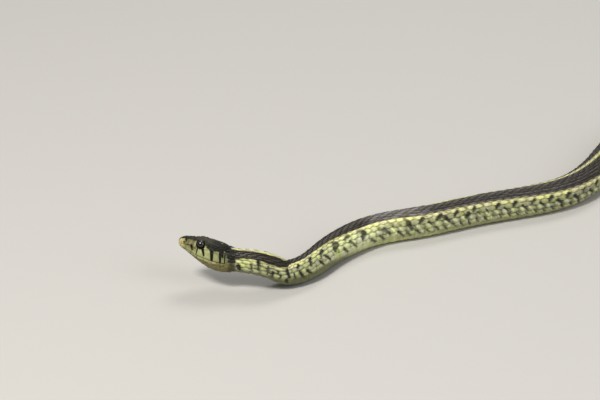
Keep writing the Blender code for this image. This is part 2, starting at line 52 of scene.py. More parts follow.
# Path of the belly line: what is added to all its points, then x, y and height above the floor from
# the neck joint to the tip of the tail.
PATH_SHIFT = (-201.248, 4.924, 0.0)
WAYPOINTS = [
    (-23.8, -75.0, 7.3), (-12.5, -75.6, 5.1), (-8.5, -74.6, 2.5), (2.6, -67.1, 0.5), (8.5, -58.1, 0.0),
    (16.6, -47.6, 0.0), (29.5, -36.8, 0.0), (46.5, -30.2, 0.0), (65.0, -21.5, 0.0), (84.0, -14.0, 0.0),
    (105.0, -3.8, 0.0), (121.0, 17.0, 0.0), (133.0, 41.0, 0.0), (151.0, 60.0, 0.0), (175.0, 60.0, 0.0),
    (190.5, 41.0, 0.0), (196.0, 11.0, 0.0), (204.0, -17.0, 0.0), (220.0, -43.5, 0.0),
    (244.0, -54.0, 0.0), (267.0, -41.0, 0.0), (278.0, -13.0, 0.0), (288.0, 14.0, 0.0),
    (306.0, 37.0, 0.0), (332.0, 39.5, 0.0), (353.0, 21.0, 0.0), (367.0, -3.0, 0.0), (385.0, -21.0, 0.0),
    (407.0, -23.0, 0.0), (427.0, -11.5, 0.0), (450.0, -1.0, 0.0),
]
PATH_SAMPLES = 8001
SAMPLE_STEP = 0.25

# The head's attitude, the lengths over which its direction and its roll come in, its own length and
# what is added before the snout. Then the places of the tail's tip and of the vent.
HEAD_PITCH_DEG = 19.0
HEAD_YAW_DEG = 10.0
HEAD_ROLL_DEG = 12.0
NAPE_LENGTH = 6.0
ROLL_FADE = 30.0
HEAD_LENGTH = 24.0
SNOUT_MARGIN = 2.0
TAIL_TIP = 695.0
VENT = 535.0

# Width of the trunk and tail by s, height as a share of it, level of the widest part as a share of the
# height, powers of the upper and lower half with the swell, and how the tail's tip closes.
WIDTHS = [
    (0, 9.1), (7, 10.1), (14, 10.2), (22, 9.9), (33, 10.4), (41, 11.1), (49, 11.8), (60, 12.2),
    (85, 12.6), (135, 12.5), (170, 13.1), (260, 15.0), (340, 15.1), (440, 13.7), (500, 11.8),
    (535, 10.3), (550, 9.4), (600, 6.7), (650, 3.7), (688, 1.5), (695, 1.1),
]
WIDTH_SMOOTHING = 8.0
SMOOTHING_SAMPLES = 17
HEIGHT_RATIO = 0.89
WIDEST_LEVEL = 0.47
BODY_POWERS = (2.0, 2.4, 1.06)
TIP_ROUNDING = 7.0
TIP_CLOSING = 0.85
TIP_MARGIN = 1.0

# Head by distance forward of the neck joint: half width, top, bottom, level of the widest part,
# power of the upper and of the lower half, swell of the belly below its clipped flat. Then how far the
# table is smoothed, and how the snout is rounded off.
HEAD_STATIONS = [
    (-2.0, 4.69, 8.35, 0.0, 3.92, 2.0, 2.4, 1.06),
    (0.0, 4.69, 8.35, 0.0, 3.92, 2.0, 2.4, 1.06),
    (2.8, 5.3, 8.55, -0.6, 3.95, 2.2, 2.2, 1.0),
    (6.2, 6.05, 8.7, -1.5, 3.7, 2.5, 2.1, 1.0),
    (9.5, 5.8, 8.6, -1.6, 3.4, 2.8, 2.1, 1.0),
    (12.6, 5.2, 8.4, -1.0, 3.2, 3.3, 2.1, 1.0),
    (15.0, 4.65, 8.1, -0.3, 3.2, 3.6, 2.1, 1.0),
    (17.0, 4.15, 7.7, 0.4, 3.2, 3.3, 2.1, 1.0),
    (19.2, 3.55, 7.1, 1.2, 3.3, 2.9, 2.1, 1.0),
    (21.5, 2.9, 6.4, 1.8, 3.5, 2.7, 2.1, 1.0),
    (23.0, 2.45, 5.9, 2.2, 3.7, 2.5, 2.1, 1.0),
    (24.0, 2.1, 5.6, 2.4, 3.8, 2.4, 2.1, 1.0),
]
HEAD_SMOOTHING = 0.9
SNOUT_CAP = 2.2
SNOUT_FLAT = 0.08

# Line of the mouth: x and level, and x of its corner.
MOUTH_LINE = [
    (25.6, 2.95), (23.2, 2.85), (21.4, 2.6), (18.0, 2.25), (15.0, 2.2), (12.0, 2.4), (9.0, 2.75),
    (6.6, 3.15), (4.9, 3.5), (0.0, 3.6), (-6.0, 3.83),
]
MOUTH_CORNER = 4.9

# The left eye's place, radii and turn, how far from the middle the side of the head begins, and the
# nostril's place and radii as x and level.
EYE_AT = (15.7, 3.3, 6.5)
EYE_RADII = (1.5, 1.3, 1.4)
EYE_TURN_DEG = 12.0
SIDE_FROM = 2.5
NOSTRIL_AT = (21.9, 4.75)
NOSTRIL_RADII = (0.42, 0.3)

# Steps in which the skin is measured: turns of a ring, turns and places of the whole grid, x of the head.
RING_TURNS = 721
GRID_TURNS = 360
GRID_STEP = 0.5
GRID_START = -10.0
HEAD_X = np.linspace(-12.0, 23.98, 361)

# Rings and columns of the skin's own mesh. On the head one pair of columns follows the mouth, and the
# others crowd towards it.
HEAD_AROUND = 192
BODY_AROUND = 96
UPPER_STEPS = 58
UPPER_CROWDING = 1.25
LOWER_CROWDING = 1.3
MOUTH_COLUMNS_SPAN = (0.0, 4.0)
CAP_RINGS = 22
HEAD_RING_STEP = 0.11
HEAD_RINGS_END = -1.0
NAPE_GAP = 0.5
NAPE_RING_STEP = 0.6
NAPE_RINGS_END = 4.0
BODY_RING_STEP = 1.4
TIP_RINGS = (0.6, 0.2)

# How far the pattern is turned round the neck and trunk, where the snake leans as it lies.
TWIST = [
    (0, 0), (8, 0), (12, 1), (15, 13), (19, 34), (26, 48), (32, 58), (38, 56), (45, 51), (50, 46),
    (56, 45), (61, 42), (76, 39), (88, 33), (114, 31), (130, 26), (200, 0),
]
TWIST_SMOOTHING = 3.0

# Spacing of the columns of scales and belly plates by s, where the first column stands, the spacing on
# the full trunk, and the length of the tail's bare tip.
SPACING = [
    (-24, 2.5), (0, 2.7), (40, 3.7), (300, 3.8), (470, 3.6), (535, 3.3), (560, 2.9), (640, 2.1),
    (695, 1.4),
]
FIRST_COLUMN = -9.0
FULL_SPACING = 3.7
BARE_TIP = 2.0

# Rows of scales on one side from the belly plates up: width in degrees where the row is full, and the
# place where it ends. The last is half of the row along the back. A row narrows over some length
# before its end, and has no scale where less than a share of its width is left.
ROWS = [
    (22.0, 900.0), (18.0, 900.0), (14.5, 655.0), (12.5, 330.0), (11.5, 500.0), (11.0, 560.0),
    (10.6, 595.0), (10.4, 545.0), (10.0, 625.0), (4.8, 685.0),
]
ROW_FADE = 16.0
ROW_LEAST = 0.4

# Turn of the belly plates' edge. Then half the width of a plate under the tail in degrees, and how far
# the left row stands behind the right one as a share of the spacing.
BELLY_TURN = -35.0
TAIL_PLATE_HALF = 27.5
TAIL_PLATE_SHIFT = 0.25

# Where the loose scales begin on the head: turn and x. A scale may stand a little before it.
SCALE_START = [
    (-90, 2.0), (-60, 2.0), (-31, 3.0), (-8, 4.2), (12, 5.0), (22, 6.9), (62, 6.9), (78, 6.2), (90, 5.9),
]
SCALE_START_MARGIN = 0.2

# The skin sinks under the scales over a span of x from where they begin. Its depth and the scales'
# thickness are full where the trunk has this half width, and never less than a share of it.
SINK_SPAN = (0.3, -1.2)
SKIN_SINK = 0.28
FULL_HALF_WIDTH = 4.5
THINNEST_SKIN = 0.15
THINNEST_SCALE = 0.2

# Pieces of the coat of the back and sides: name, start and end. Then where the belly plates begin.
BACK_PIECES = [("scales_front", -8.0, 160.0), ("scales_middle", 160.0, 400.0), ("scales_rear", 400.0, 695.0)]
BELLY_START = -3.0

# Length, width and thickness of the plates as shares of their columns' spacing, of their rows' width
# and of their own full thickness. Then how much their tone varies, and the share of red, green and blue
# that one unit of tone adds.
BACK_OVERLAP = (1.42, 1.12, 1.0)
BELLY_OVERLAP = (1.3, 1.06, 1.0)
TAIL_OVERLAP = (1.35, 1.15, 1.0)
BACK_TONE = 1.0
BELLY_TONE = 0.5
TONE_TINT = np.array([0.09, 0.12, -0.08])

# Shapes of the plates, from root 0 to free tip 1 and across from -1 to 1: the outline of a scale, then
# for each plate its lines across, its lines along, and which of those across the underside keeps.
SCALE_OUTLINE = [(0.0, 0.72), (0.2, 0.92), (0.45, 1.0), (0.7, 0.88), (0.86, 0.62), (0.95, 0.38), (1.0, 0.14)]
SCALE_GRID = (
    [-1, -0.62, -0.2, 0, 0.2, 0.62, 1],
    [0, 0.3, 0.43, 0.56, 0.68, 0.79, 0.89, 0.96, 1.0],
    [0, 6],
)
BELLY_GRID = (
    [-1, -0.92, -0.84, -0.75, -0.64, -0.45, -0.2, 0, 0.2, 0.45, 0.64, 0.75, 0.84, 0.92, 1],
    [0, 0.16, 0.32, 0.48, 0.64, 0.8, 0.93, 1.0],
    [0, 3, 5, 7, 9, 11, 14],
)
TAIL_GRID = (list(np.linspace(-1, 1, 9)), [0, 0.35, 0.7, 0.93, 1.0], [0, 2, 4, 6, 8])

# Thickness of the scales and of the plates, how deep their roots lie and how they rise from there, how
# deep the tips lie, the scales' crowning and keel, and how the sides of a plate drop.
SCALE_THICKNESS = 0.14
PLATE_THICKNESS = 0.12
ROOT_SINK = 0.36
SCALE_CURVE = 1.8
PLATE_CURVE = 1.6
SEAT = 0.02
CROWNING = 0.10
CROWNING_LOSS = 0.5
KEEL_HEIGHT = 0.11
KEEL_WIDTH = 0.13
KEEL_START = (0.1, 0.35)
KEEL_END = (0.85, 1.0)
KEEL_LOSS = 0.7
PLATE_RIM_DROP = 0.10
PLATE_RIM_POWER = 12

# The OFBake map: margin of the map, half the size of one plate's patch, and how far the map reaches
# past both ends of a piece.
MAP_MARGIN = 0.02
MAP_PATCH = 0.0015
MAP_REACH = 1.0

# Colours of the markings.
DARK = (0.020, 0.015, 0.009)
# Pale grey of the dark band: partly dust, partly painted sheen.
DUST_AND_SHEEN = (0.200, 0.185, 0.175)
CROWN = (0.045, 0.044, 0.026)
BACK_STRIPE = (0.50, 0.49, 0.24)
SIDE_STRIPE = (0.62, 0.61, 0.28)
FLANK = (0.165, 0.165, 0.062)
FLECK = (0.55, 0.58, 0.32)
SPOT = (0.014, 0.013, 0.007)
BELLY = (0.27, 0.28, 0.115)
LIP = (0.34, 0.36, 0.16)
NOSE = (0.41, 0.36, 0.15)
LORE = (0.14, 0.125, 0.05)
CREAM = (0.42, 0.42, 0.21)
BAR = (0.008, 0.0075, 0.004)
# The throat's colour is partly its own and partly painted shade under the jaw.
THROAT = (0.19, 0.17, 0.07)
PATCH_TINT = (0.50, 0.54, 0.20)
LIME = (0.40, 0.45, 0.17)
PINK = (0.50, 0.34, 0.22)
CHEEK = (0.204, 0.216, 0.096)
NECK_SHADOW = (0.0855, 0.0765, 0.0315)

# By s: half the width of the stripe along the back in degrees, lower edge of the dark band, lower edge
# of the side stripe, turn where the flank gives way to the belly, share of pale in the flank's ground,
# painted sunlight on the flank's upper rows, cover of the dark marks, and painted shade and light on
# the belly. Along the bend at s 40 to 80 the pale share is raised and the marks' cover lowered, partly
# as painted sunlight.
BACK_STRIPE_HALF = [
    (-6.8, 6), (-4.5, 9), (0, 11), (6, 11), (10, 17), (15, 23), (20, 19), (28, 8), (91, 8), (96, 17),
    (111, 17), (116, 8), (700, 10),
]
DARK_EDGE = [
    (-7, 30), (-2, 26), (0, 23), (4, 29), (8, 29), (11, 22), (14, 24), (19, 33), (26, 30), (32, 31),
    (38, 28), (50, 24), (61, 19), (76, 19), (88, 21), (100, 23), (700, 23),
]
STRIPE_LOW = [
    (0, -14), (4.2, -14), (5, 16), (12, 12), (16, 6), (22, 10), (34, 8), (45, 12), (60, 6), (76, 3),
    (90, 5), (700, 3),
]
BELLY_EDGE = [
    (0, -34), (20, -36), (28, -46), (38, -50), (45, -54), (52, -62), (60, -66), (80, -62), (120, -60),
    (200, -48), (700, -46),
]
PALE_SHARE = [
    (0, 0.6), (14, 0.6), (22, 0.4), (28, 0.5), (40, 0.75), (46, 0.9), (62, 0.9), (70, 0.55), (84, 0.35),
    (120, 0.3), (700, 0.3),
]
FLANK_PAINTED_LIGHT = [
    (0, 1.0), (28, 1.0), (48, 1.15), (58, 1.25), (76, 1.25), (88, 1.05), (104, 1.0), (700, 1.0),
]
SPOT_COVER = [(0, 1.0), (32, 1.0), (46, 0.86), (78, 0.86), (90, 0.96), (700, 1.0)]
BELLY_LIGHT_AND_SHADE = [
    (0, 0.6), (14, 0.5), (24, 0.45), (42, 0.45), (52, 0.8), (62, 1.5), (76, 2.2), (92, 2.1), (104, 1.6),
    (120, 1.3), (700, 1.3),
]

# Height of the waves of the dark band's edge in degrees, spans of turn over which the band, the belly
# and the flank's painted sunlight come in, and where the back's stripe starts.
BAND_WAVE = 1.0
BAND_SPAN = (-1.0, 1.0)
BELLY_SPAN = (5.0, -7.0)
FLANK_LIGHT_SPAN = (0.0, 16.0)
BACK_STRIPE_START = -6.8

# Tints of the body from the lowest up: colour, strength and the spans that limit it. A span names what
# it is measured by, and the values at which the tint begins and is full.
FLANK_TINTS = [
    (SIDE_STRIPE, 1.0, [("stripe", -3.0, 3.0)]),
    (CHEEK, 1.0, [("s", -3.0, -3.6)]),
    (PATCH_TINT, 1.0, [("s", 0.0, 0.8), ("s", 5.0, 4.2), ("turn", -14.0, -10.0)]),
]
NECK_TINTS = [
    (NECK_SHADOW, 1.0, [("s", 0.9, -0.3), ("turn", 6.0, -2.0)]),
    (SPOT, 1.0, [("collar", -0.4, 0.0), ("s", 0.5, -0.1), ("turn", -2.0, 4.0)]),
    (BACK_STRIPE, 1.0, [("back", -1.0, 1.0)]),
]

# Front edge of the dark collar: turn and s. Then the strength of the bright, dull and pale marks.
COLLAR_FRONT = [(4.0, -3.5), (12.0, -5.4)]
LIME_STRENGTH = 0.8
OLIVE_STRENGTH = 0.75
PALE_STRENGTH = 0.8

# Pale dust and painted sheen of the sun on one length of the dark band: its spans of s, its share after
# them, and its grain as level, depth, wave by column and wave by degree.
DUST_AND_SHEEN_START = (62.0, 72.0)
DUST_AND_SHEEN_END = (96.0, 84.0)
DUST_AND_SHEEN_AFTER = 0.15
DUST_AND_SHEEN_GRAIN = (0.6, 0.4, 2.1, 0.4)

# Rows of dark marks along each flank: place of the first between the columns, columns from one to the
# next, the mark's two ends (share of a column, turn) and half its thickness. Then the same for pale ones.
MARK_ROWS = [
    (0.0, 2, (0.18, 6.0), (-0.15, -4.0), 0.62),
    (1.0, 2, (-0.22, -7.0), (0.22, -22.0), 0.62),
    (0.3, 1, (-0.18, -32.0), (0.22, -50.0), 0.42),
]
PALE_ROWS = [
    (0.95, 1, (-0.34, -16.0), (0.36, -44.0), 0.50),
    (1.0, 2, (-0.30, 6.0), (-0.05, -10.0), 0.60),
    (0.85, 1, (0.25, -38.0), (-0.20, -50.0), 0.30),
]

# Seeds of the rows' chances, what the chances scatter (place, turn and share of size), and what is
# added to a mark's number. Then how much bolder the listed marks below are than written, how soft an
# edge is, and a mark's thickness at its first end and what it loses on the way to the other.
MARK_SEED = 30
PALE_SEED = 50
MARK_SCATTER = (0.3, 2.0, 0.35)
MARK_INDEX_START = 9
BOLDNESS = 1.33
BODY_SOFT = 0.42
MARK_TAPER = (1.15, 0.45)

# Where the rows of marks begin on the left and on the right flank.
MARKS_FROM = (119.0, 14.0)
PALE_FROM = (62.0, 14.0)

# Marks of the left flank up to where the rows begin: place and turn over the skin of the mark's two
# ends, and half its thickness.
LEFT_SPOTS = [
    (1.3, -10, 1.9, -28, 0.62), (5.4, 4, 6.0, -26, 0.22), (7.3, 24, 7.8, -12, 0.38),
    (10.0, 14, 10.4, -24, 0.24), (11.5, -4, 12.2, -32, 0.36), (12.8, 8, 13.1, -6, 0.28),
    (14.0, -4, 14.6, -24, 0.24), (15.6, 26, 18.2, -2, 0.58), (17.2, -18, 18.6, -34, 0.5),
    (20.2, 14, 21.4, -8, 0.28), (23.4, 55, 22.4, 42, 0.55), (23.0, 22, 24.6, -4, 0.5),
    (26.2, 22, 28.0, 2, 0.42), (29.8, 72, 28.4, 34, 0.5), (32.3, 34, 33.8, 12, 0.42),
    (37.0, 67, 34.4, 58, 0.62), (34.4, 58, 34.0, 44, 0.3), (36.0, 40, 38.2, 12, 0.48),
    (45.2, 54, 42.8, 36, 1.05), (48.0, 20, 50.2, -3, 0.5), (53.2, 55, 50.6, 48, 0.6),
    (52.6, 32, 55.4, 0, 0.46), (60.8, 36, 59.4, 22, 1.0), (64.0, 2, 67.4, -18, 0.46),
    (68.8, 6, 71.8, -16, 0.46), (71.6, 26, 74.4, 2, 0.62), (78.4, 4, 80.6, -18, 0.42),
    (82.6, 32, 83.8, 10, 0.8), (82.2, -6, 83.8, -22, 0.38), (86.0, -2, 87.4, -17, 0.36),
    (88.6, 38, 87.4, 28, 0.6), (90.8, 24, 92.0, 12, 0.3), (89.8, -6, 91.0, -15, 0.26),
    (96.0, 38, 94.0, 28, 0.65), (93.6, 0, 94.8, -17, 0.32), (97.6, 28, 99.2, 10, 0.6),
    (97.2, -8, 98.4, -21, 0.32), (103.2, 38, 101.6, 28, 0.58), (101.0, -4, 102.2, -18, 0.26),
    (107.8, 22, 106.6, 12, 0.75), (104.2, -7, 105.4, -21, 0.3), (107.8, -9, 108.8, -22, 0.32),
    (111.2, 38, 110.2, 29, 0.58), (112.0, 22, 113.2, 10, 0.28), (111.4, -3, 112.6, -17, 0.24),
    (116.0, 26, 117.0, 10, 0.32), (115.2, -6, 116.6, -21, 0.34),
]
LEFT_LIMES = [
    (43.5, 28, 45.4, 0, 1.1), (38.0, 76, 41.0, 74, 0.8), (31.6, 66, 32.4, 50, 0.8),
    (26.6, 62, 25.4, 52, 0.7), (84.0, -4, 85.4, -18, 0.7), (90.2, 12, 90.8, -4, 0.6),
]
LEFT_OLIVES = [
    (43.2, 72, 44.8, 68, 0.5), (58.4, 52, 61.0, 55, 0.45), (60.0, 45, 61.6, 40, 0.8),
    (69.0, 34, 70.8, 22, 0.5), (75.0, 40, 76.6, 24, 0.45), (78.6, 36, 79.8, 22, 0.4),
    (81.6, 49, 82.8, 44, 0.45), (89.8, 50, 90.6, 44, 0.35), (98.4, 48, 99.2, 42, 0.35),
    (106.8, 49, 107.6, 43, 0.42), (114.6, 50, 115.4, 42, 0.42),
]

# Lines between the head's plates on the left side: x forward and t over the skin from the middle. Then
# for the lips x of each line at the mouth, its other end above or its depth below, and how far the
# lower ones lean.
LINES = [
    [(23.5, 0), (23.1, 0.9), (22.75, 1.15)],
    [(22.75, 1.15), (21.9, 1.8), (21.1, 1.6)],
    [(21.3, 0), (21.1, 1.6)],
    [(23.5, 0), (18.7, 0)],
    [(21.1, 1.6), (20.6, 2.8), (18.7, 3.0)],
    [(18.7, 0), (18.5, 1.45), (18.7, 3.0)],
    [(18.5, 1.45), (16.2, 1.2), (14.6, 1.3), (12.9, 0)],
    [(12.9, 0), (6.3, 0), (6.0, 0.7), (7.0, 2.7), (9.2, 4.1), (12.6, 3.9), (13.7, 2.9), (14.6, 1.3)],
    [(18.7, 3.0), (17.4, 3.5), (17.1, 3.8)],
    [(13.9, 3.6), (13.3, 3.6), (13.7, 2.9)],
    [(22.75, 1.15), (22.9, 2.4), (22.6, 3.9), (22.4, 5.1)],
    [(21.9, 1.8), (21.9, 4.05)],
    [(20.6, 2.8), (20.2, 3.6), (20.6, 4.45)],
    [(18.7, 3.0), (18.7, 4.0), (18.9, 5.0)],
    [(22.6, 3.9), (21.9, 4.05), (20.6, 4.45), (18.9, 5.0), (17.9, 6.0), (16.9, 6.2)],
    [(13.3, 3.6), (12.4, 4.6), (12.5, 5.4), (13.0, 6.3), (14.2, 6.5)],
    [(14.2, 4.6), (12.4, 4.6)],
    [(14.1, 5.6), (12.5, 5.4)],
    [(12.6, 3.9), (12.4, 4.6)],
    [(9.2, 4.1), (9.8, 5.4), (9.6, 6.7)],
    [(9.8, 5.4), (7.0, 5.0)],
    [(7.0, 2.7), (7.0, 5.0), (7.2, 6.6)],
    [(13.0, 6.3), (9.6, 6.7), (7.2, 6.6), (5.4, 7.2), (4.6, 9.0)],
]
UPPER_LIP_ENDS = [20.6, 17.8, 16.0, 13.1, 9.6, 6.5]
UPPER_LIP_TOPS = [(20.9, 4.4), (18.9, 5.0), (16.4, 6.2), (14.4, 6.4), (11.0, 6.55), (8.2, 6.65)]
LOWER_LIP_ENDS = [22.8, 20.6, 18.2, 15.6, 12.8, 9.6, 6.6, 4.9]
LOWER_LIP_DEPTHS = [0.9, 1.2, 1.3, 1.4, 1.5, 1.6, 1.5, 1.3]
LOWER_LIP_LEAN = 0.3

# Lines between the chin's shields, as x and distance from the throat's middle.
CHIN_LINES = [
    [(22.5, 0), (11.5, 0)],
    [(21.8, 1.2), (21.0, 0)],
    [(21.3, 1.15), (17.0, 1.5), (16.6, 0)],
    [(17.0, 1.5), (12.2, 1.9), (11.5, 0)],
]

# Small scales of the throat: length, width and depth of the lattice, and where they begin.
THROAT_SCALE = (2.1, 1.5, 1.2)
THROAT_SCALES_FRONT = 12.3
THROAT_SCALES_OFF = 1.6
JAW_SCALES_BEHIND = 0.6

# Relief of the head: rise and slope of the plates, the grooves between them, the mouth with a roll
# over and under it (off the mouth, spread, share), the nostril, the brow and the eye's socket.
PLATE_RISE = 0.1
PLATE_SLOPE = 0.5
GROOVE = 0.14
GROOVE_WIDTH = 0.11
SNOUT_FADE = (23.95, 23.2)
MOUTH_FADE = 0.3
MOUTH_CLEAR = 0.2
MOUTH_DEPTH = 0.34
MOUTH_WIDTH = 0.13
LIP_ROLLS = [(-0.55, 0.45, 1.0), (0.5, 0.4, 0.7)]
LIP_RISE = 0.10
NOSTRIL_DEPTH = 0.5
NOSTRIL_SPAN = (0.4, 1.15)
NOSTRIL_RIM = (1.4, 0.4)
NOSTRIL_RIM_RISE = 0.07
BROW = (1.25, 0.28)
BROW_RISE = 0.16
BROW_LEVELS = (-0.2, 1.2)
SOCKET_EDGE = (0.98, 1.2)
SOCKET_WALL = (0.86, 1.03)
SOCKET_DEPTH = 1.3

# Dark bars between the lip plates: two ends in (x, t) and half the width. Then all marks of the face, and
# those over its other paint, with their colour, strength and softness.
FACE_SOFT = 0.18
BARS = [
    ((21.6, 1.5), (21.1, 3.3), 0.36),
    ((20.5, 4.4), (18.7, 4.9), 0.16),
    ((18.8, 4.8), (17.9, 6.7), 0.36),
    ((16.2, 6.2), (16.0, 8.6), 0.22),
    ((14.3, 6.3), (13.1, 8.6), 0.46),
    ((11.0, 6.0), (9.6, 9.9), 0.62),
    ((8.0, 5.2), (6.3, 10.0), 0.5),
    ((7.5, 4.2), (6.4, 7.0), 0.55),
    ((6.0, 5.2), (4.6, 9.6), 0.34),
]
FACE_MARKS = [
    (CREAM, 0.5, (17.7, 3.3), (17.5, 5.4), 0.28, FACE_SOFT),
    (CREAM, 0.5, (13.6, 5.3), (13.7, 6.2), 0.3, FACE_SOFT),
] + [(BAR, 1.0, *bar, FACE_SOFT) for bar in BARS]
LAST_MARKS = [
    (PINK, 0.6, (10.3, 11.0), (8.2, 10.1), 0.36, 0.3),
    (LIP, 0.6, (8.6, 0.3), (8.2, 0.3), 0.16, 0.1),
]

# By x: shade of the crown, and t of the edge between the crown and the face.
CROWN_SHADE = [
    (24.0, 0.5), (18.5, 0.5), (16.0, 0.8), (13.2, 1.0), (12.2, 0.75), (11.2, 0.35), (8.0, 0.18),
    (0.0, 0.18),
]
FACE_EDGE = [
    (24.0, 1.0), (22.3, 1.6), (21.2, 2.1), (18.6, 2.9), (17.2, 3.6), (14.3, 4.3), (13.6, 5.2),
    (12.6, 5.7), (11.6, 6.3), (8.4, 5.7), (6.9, 4.5), (4.9, 4.6), (2.0, 5.0), (0.0, 5.4),
]

# Loss of brightness of the lips towards the corner of the mouth: share and span of x.
LIP_LOSSES = [(0.3, 13.5, 9.0), (0.15, 8.0, 6.0)]

# Tints of the head, written as those of the body: on the face, under the mouth, and over all marks.
FACE = ("edge", -0.15, 0.2)
LORE_SPANS = [FACE, ("x", 15.8, 17.6), ("x", 22.6, 21.4)]
FACE_TINTS = [
    (LORE, 0.85, LORE_SPANS + [("mouth", -0.9, -1.9)]),
    (LORE, 0.45, LORE_SPANS),
    (NOSE, 1.0, [FACE, ("x", 21.4, 22.6)]),
    (BAR, 0.9, [("edge", -3.4, -1.4), ("edge", 0.2, -0.15), ("x", 14.6, 12.6)]),
]
THROAT_TINTS = [
    (LIP, 0.3, [("x", 15.0, 21.0)]),
    (LIP, 0.7, [("mouth", 1.3, 0.8), ("x", 8.4, 10.0)]),
]
LAST_TINTS = [
    (BAR, 1.0, [("nostril", 1.1, 0.5)]),
    (BAR, 1.0, [("eye", 1.3, 1.12)]),
    (BAR, 0.7, [("gape", 0.16, 0.05)]),
]

# Where the throat's paint comes in under the mouth, the dark along the lines between the plates, and
# the grain of the head's paint.
THROAT_FROM = (-0.1, 0.25)
SEAM_DARK = (0.22, 0.05)
SEAM_LOSS = 0.3
FACE_GRAIN = 0.05

# What a measure reads where its tint has no place.
FAR = 9.0

# Where the head's paint gives way to the body's, below and above the middle of the side.
HEAD_PAINT_LOW = (2.0, 4.0)
HEAD_PAINT_HIGH = (3.0, 4.0)

# The skin under the scales is dimmer, and so are the scales' roots. Below a turn the scales have dark
# rims, and above it they take a share of one colour of their own.
HIDDEN_SPAN = (-4.0, 2.0)
HIDDEN_LOSS = 0.45
FLANK_BELOW = 16.0
OWN_SHARE = 0.4
RIM_SIDES = (0.55, 0.95)
RIM_TIP = (0.8, 0.97)
RIM_LOSS = 0.38
ROOT_SPAN = (0.5, 0.25)
ROOT_LOSS = 0.5
PLATE_ROOT_SPAN = (0.3, 0.15)
PLATE_ROOT_LOSS = 0.3

# Finish of the skin and scales: grain, roughness, strength of bump and specular level. Then the noise
# of the grain, the finer noise of the bump, the spread of roughness and the depth of the bump.
SKIN_FINISH = (1.0, 0.36, 0.5, 0.13)
SCALE_FINISH = (1.0, 0.28, 0.5, 0.3)
GRAIN_SCALE = 900.0
GRAIN_DETAIL = 3.0
GRAIN_FROM = (0.3, 0.7)
GRAIN_TO = (0.74, 1.22)
FINE_SCALE = 5200.0
FINE_DETAIL = 2.0
ROUGHNESS_SPREAD = 0.2
BUMP_DISTANCE = 0.00003

# The eye: tints by angle from its pole as a share of a right angle, its faces across and down, its
# grain and finish, and its clear cover.
PUPIL = (0.002, 0.002, 0.002)
RING = (0.035, 0.024, 0.014)
IRIS = (0.014, 0.008, 0.011)
EYE_STOPS = [(0.46, PUPIL), (0.5, RING), (0.56, RING), (0.62, IRIS), (0.95, IRIS), (1.0, PUPIL)]
EYE_ACROSS = 64
EYE_DOWN = 40
EYE_GRAIN_SCALE = 2500.0
EYE_GRAIN_DETAIL = 2.0
EYE_GRAIN = 0.06
EYE_ROUGHNESS = 0.35
EYE_SPECULAR = 0.1
CORNEA_IOR = 1.5
CORNEA_ROUGHNESS = 0.02

# The studio, in metres. A lamp has its place, aim, size, power and tint.
FLOOR_SIDE = 6.0
FLOOR_TINT = (0.47, 0.46, 0.44, 1)
FLOOR_ROUGHNESS = 0.8
CAMERA_AT = (-0.201248, -0.893866, 0.438371)
CAMERA_AIM = (-0.201248, 0.004924, 0.0)
LENS = 150.0
SENSOR_WIDTH = 36.0
CLIP_START = 0.01
LAMPS = {
    "key": ((-0.62, -0.6, 0.95), (-0.17, -0.02, 0.0), 0.3, 14.0, (1.0, 0.97, 0.92)),
    "fill": ((0.75, -0.6, 0.7), (0.0, 0.0, 0.0), 0.9, 6.0, (0.96, 0.97, 1.0)),
    "rim": ((0.0, 0.62, 0.9), (-0.15, 0.0, 0.0), 0.5, 4.5, (1.0, 0.98, 0.95)),
}
SKY_TINT = (0.95, 0.95, 0.93, 1)
SKY_STRENGTH = 0.24


def natural_spline(points):
    """A function of the chord length that passes through the points, and the chord lengths."""
    points = np.array(points, float)
    steps = np.linalg.norm(np.diff(points, axis=0), axis=1)
    knots = np.concatenate([[0.0], np.cumsum(steps)])
    count = len(points)
    system = np.eye(count)
    right = np.zeros_like(points)
    for i in range(1, count - 1):
        system[i, i - 1] = steps[i - 1]
        system[i, i] = 2 * (steps[i - 1] + steps[i])
        system[i, i + 1] = steps[i]
        after = (points[i + 1] - points[i]) / steps[i]
        before = (points[i] - points[i - 1]) / steps[i - 1]
        right[i] = 6 * (after - before)
    bend = np.linalg.solve(system, right)

    def at(where):
        i = np.clip(np.searchsorted(knots, where) - 1, 0, count - 2)
        step = steps[i][:, None]
        before = (knots[i + 1] - where)[:, None]
        after = (where - knots[i])[:, None]
        curve = (bend[i] * before**3 + bend[i + 1] * after**3) / (6 * step)
        line = (points[i] / step - bend[i] * step / 6) * before
        return curve + line + (points[i + 1] / step - bend[i + 1] * step / 6) * after

    return at, knots


def smooth(value):
    value = np.clip(value, 0.0, 1.0)
    return value * value * (3 - 2 * value)


def between(value, start, end):
    """0 before start, 1 after end, smooth in between. The start may be the larger one."""
    return smooth((np.asarray(value, float) - start) / (end - start))


def hump(value, centre, width):
    """1 at the centre, falling to nothing on both sides."""
    return np.exp(-(((value - centre) / width) ** 2))


def unit(vectors):
    return vectors / np.maximum(np.linalg.norm(vectors, axis=-1, keepdims=True), 1e-12)


def table_at(table, where, column=1):
    table = np.array(table, float)
    order = np.argsort(table[:, 0])
    return np.interp(where, table[order, 0], table[order, column])


def smoothed(table, where, reach, column=1):
    spread = np.linspace(-reach, reach, SMOOTHING_SAMPLES)
    return table_at(table, np.asarray(where)[:, None] + spread, column).mean(axis=1)


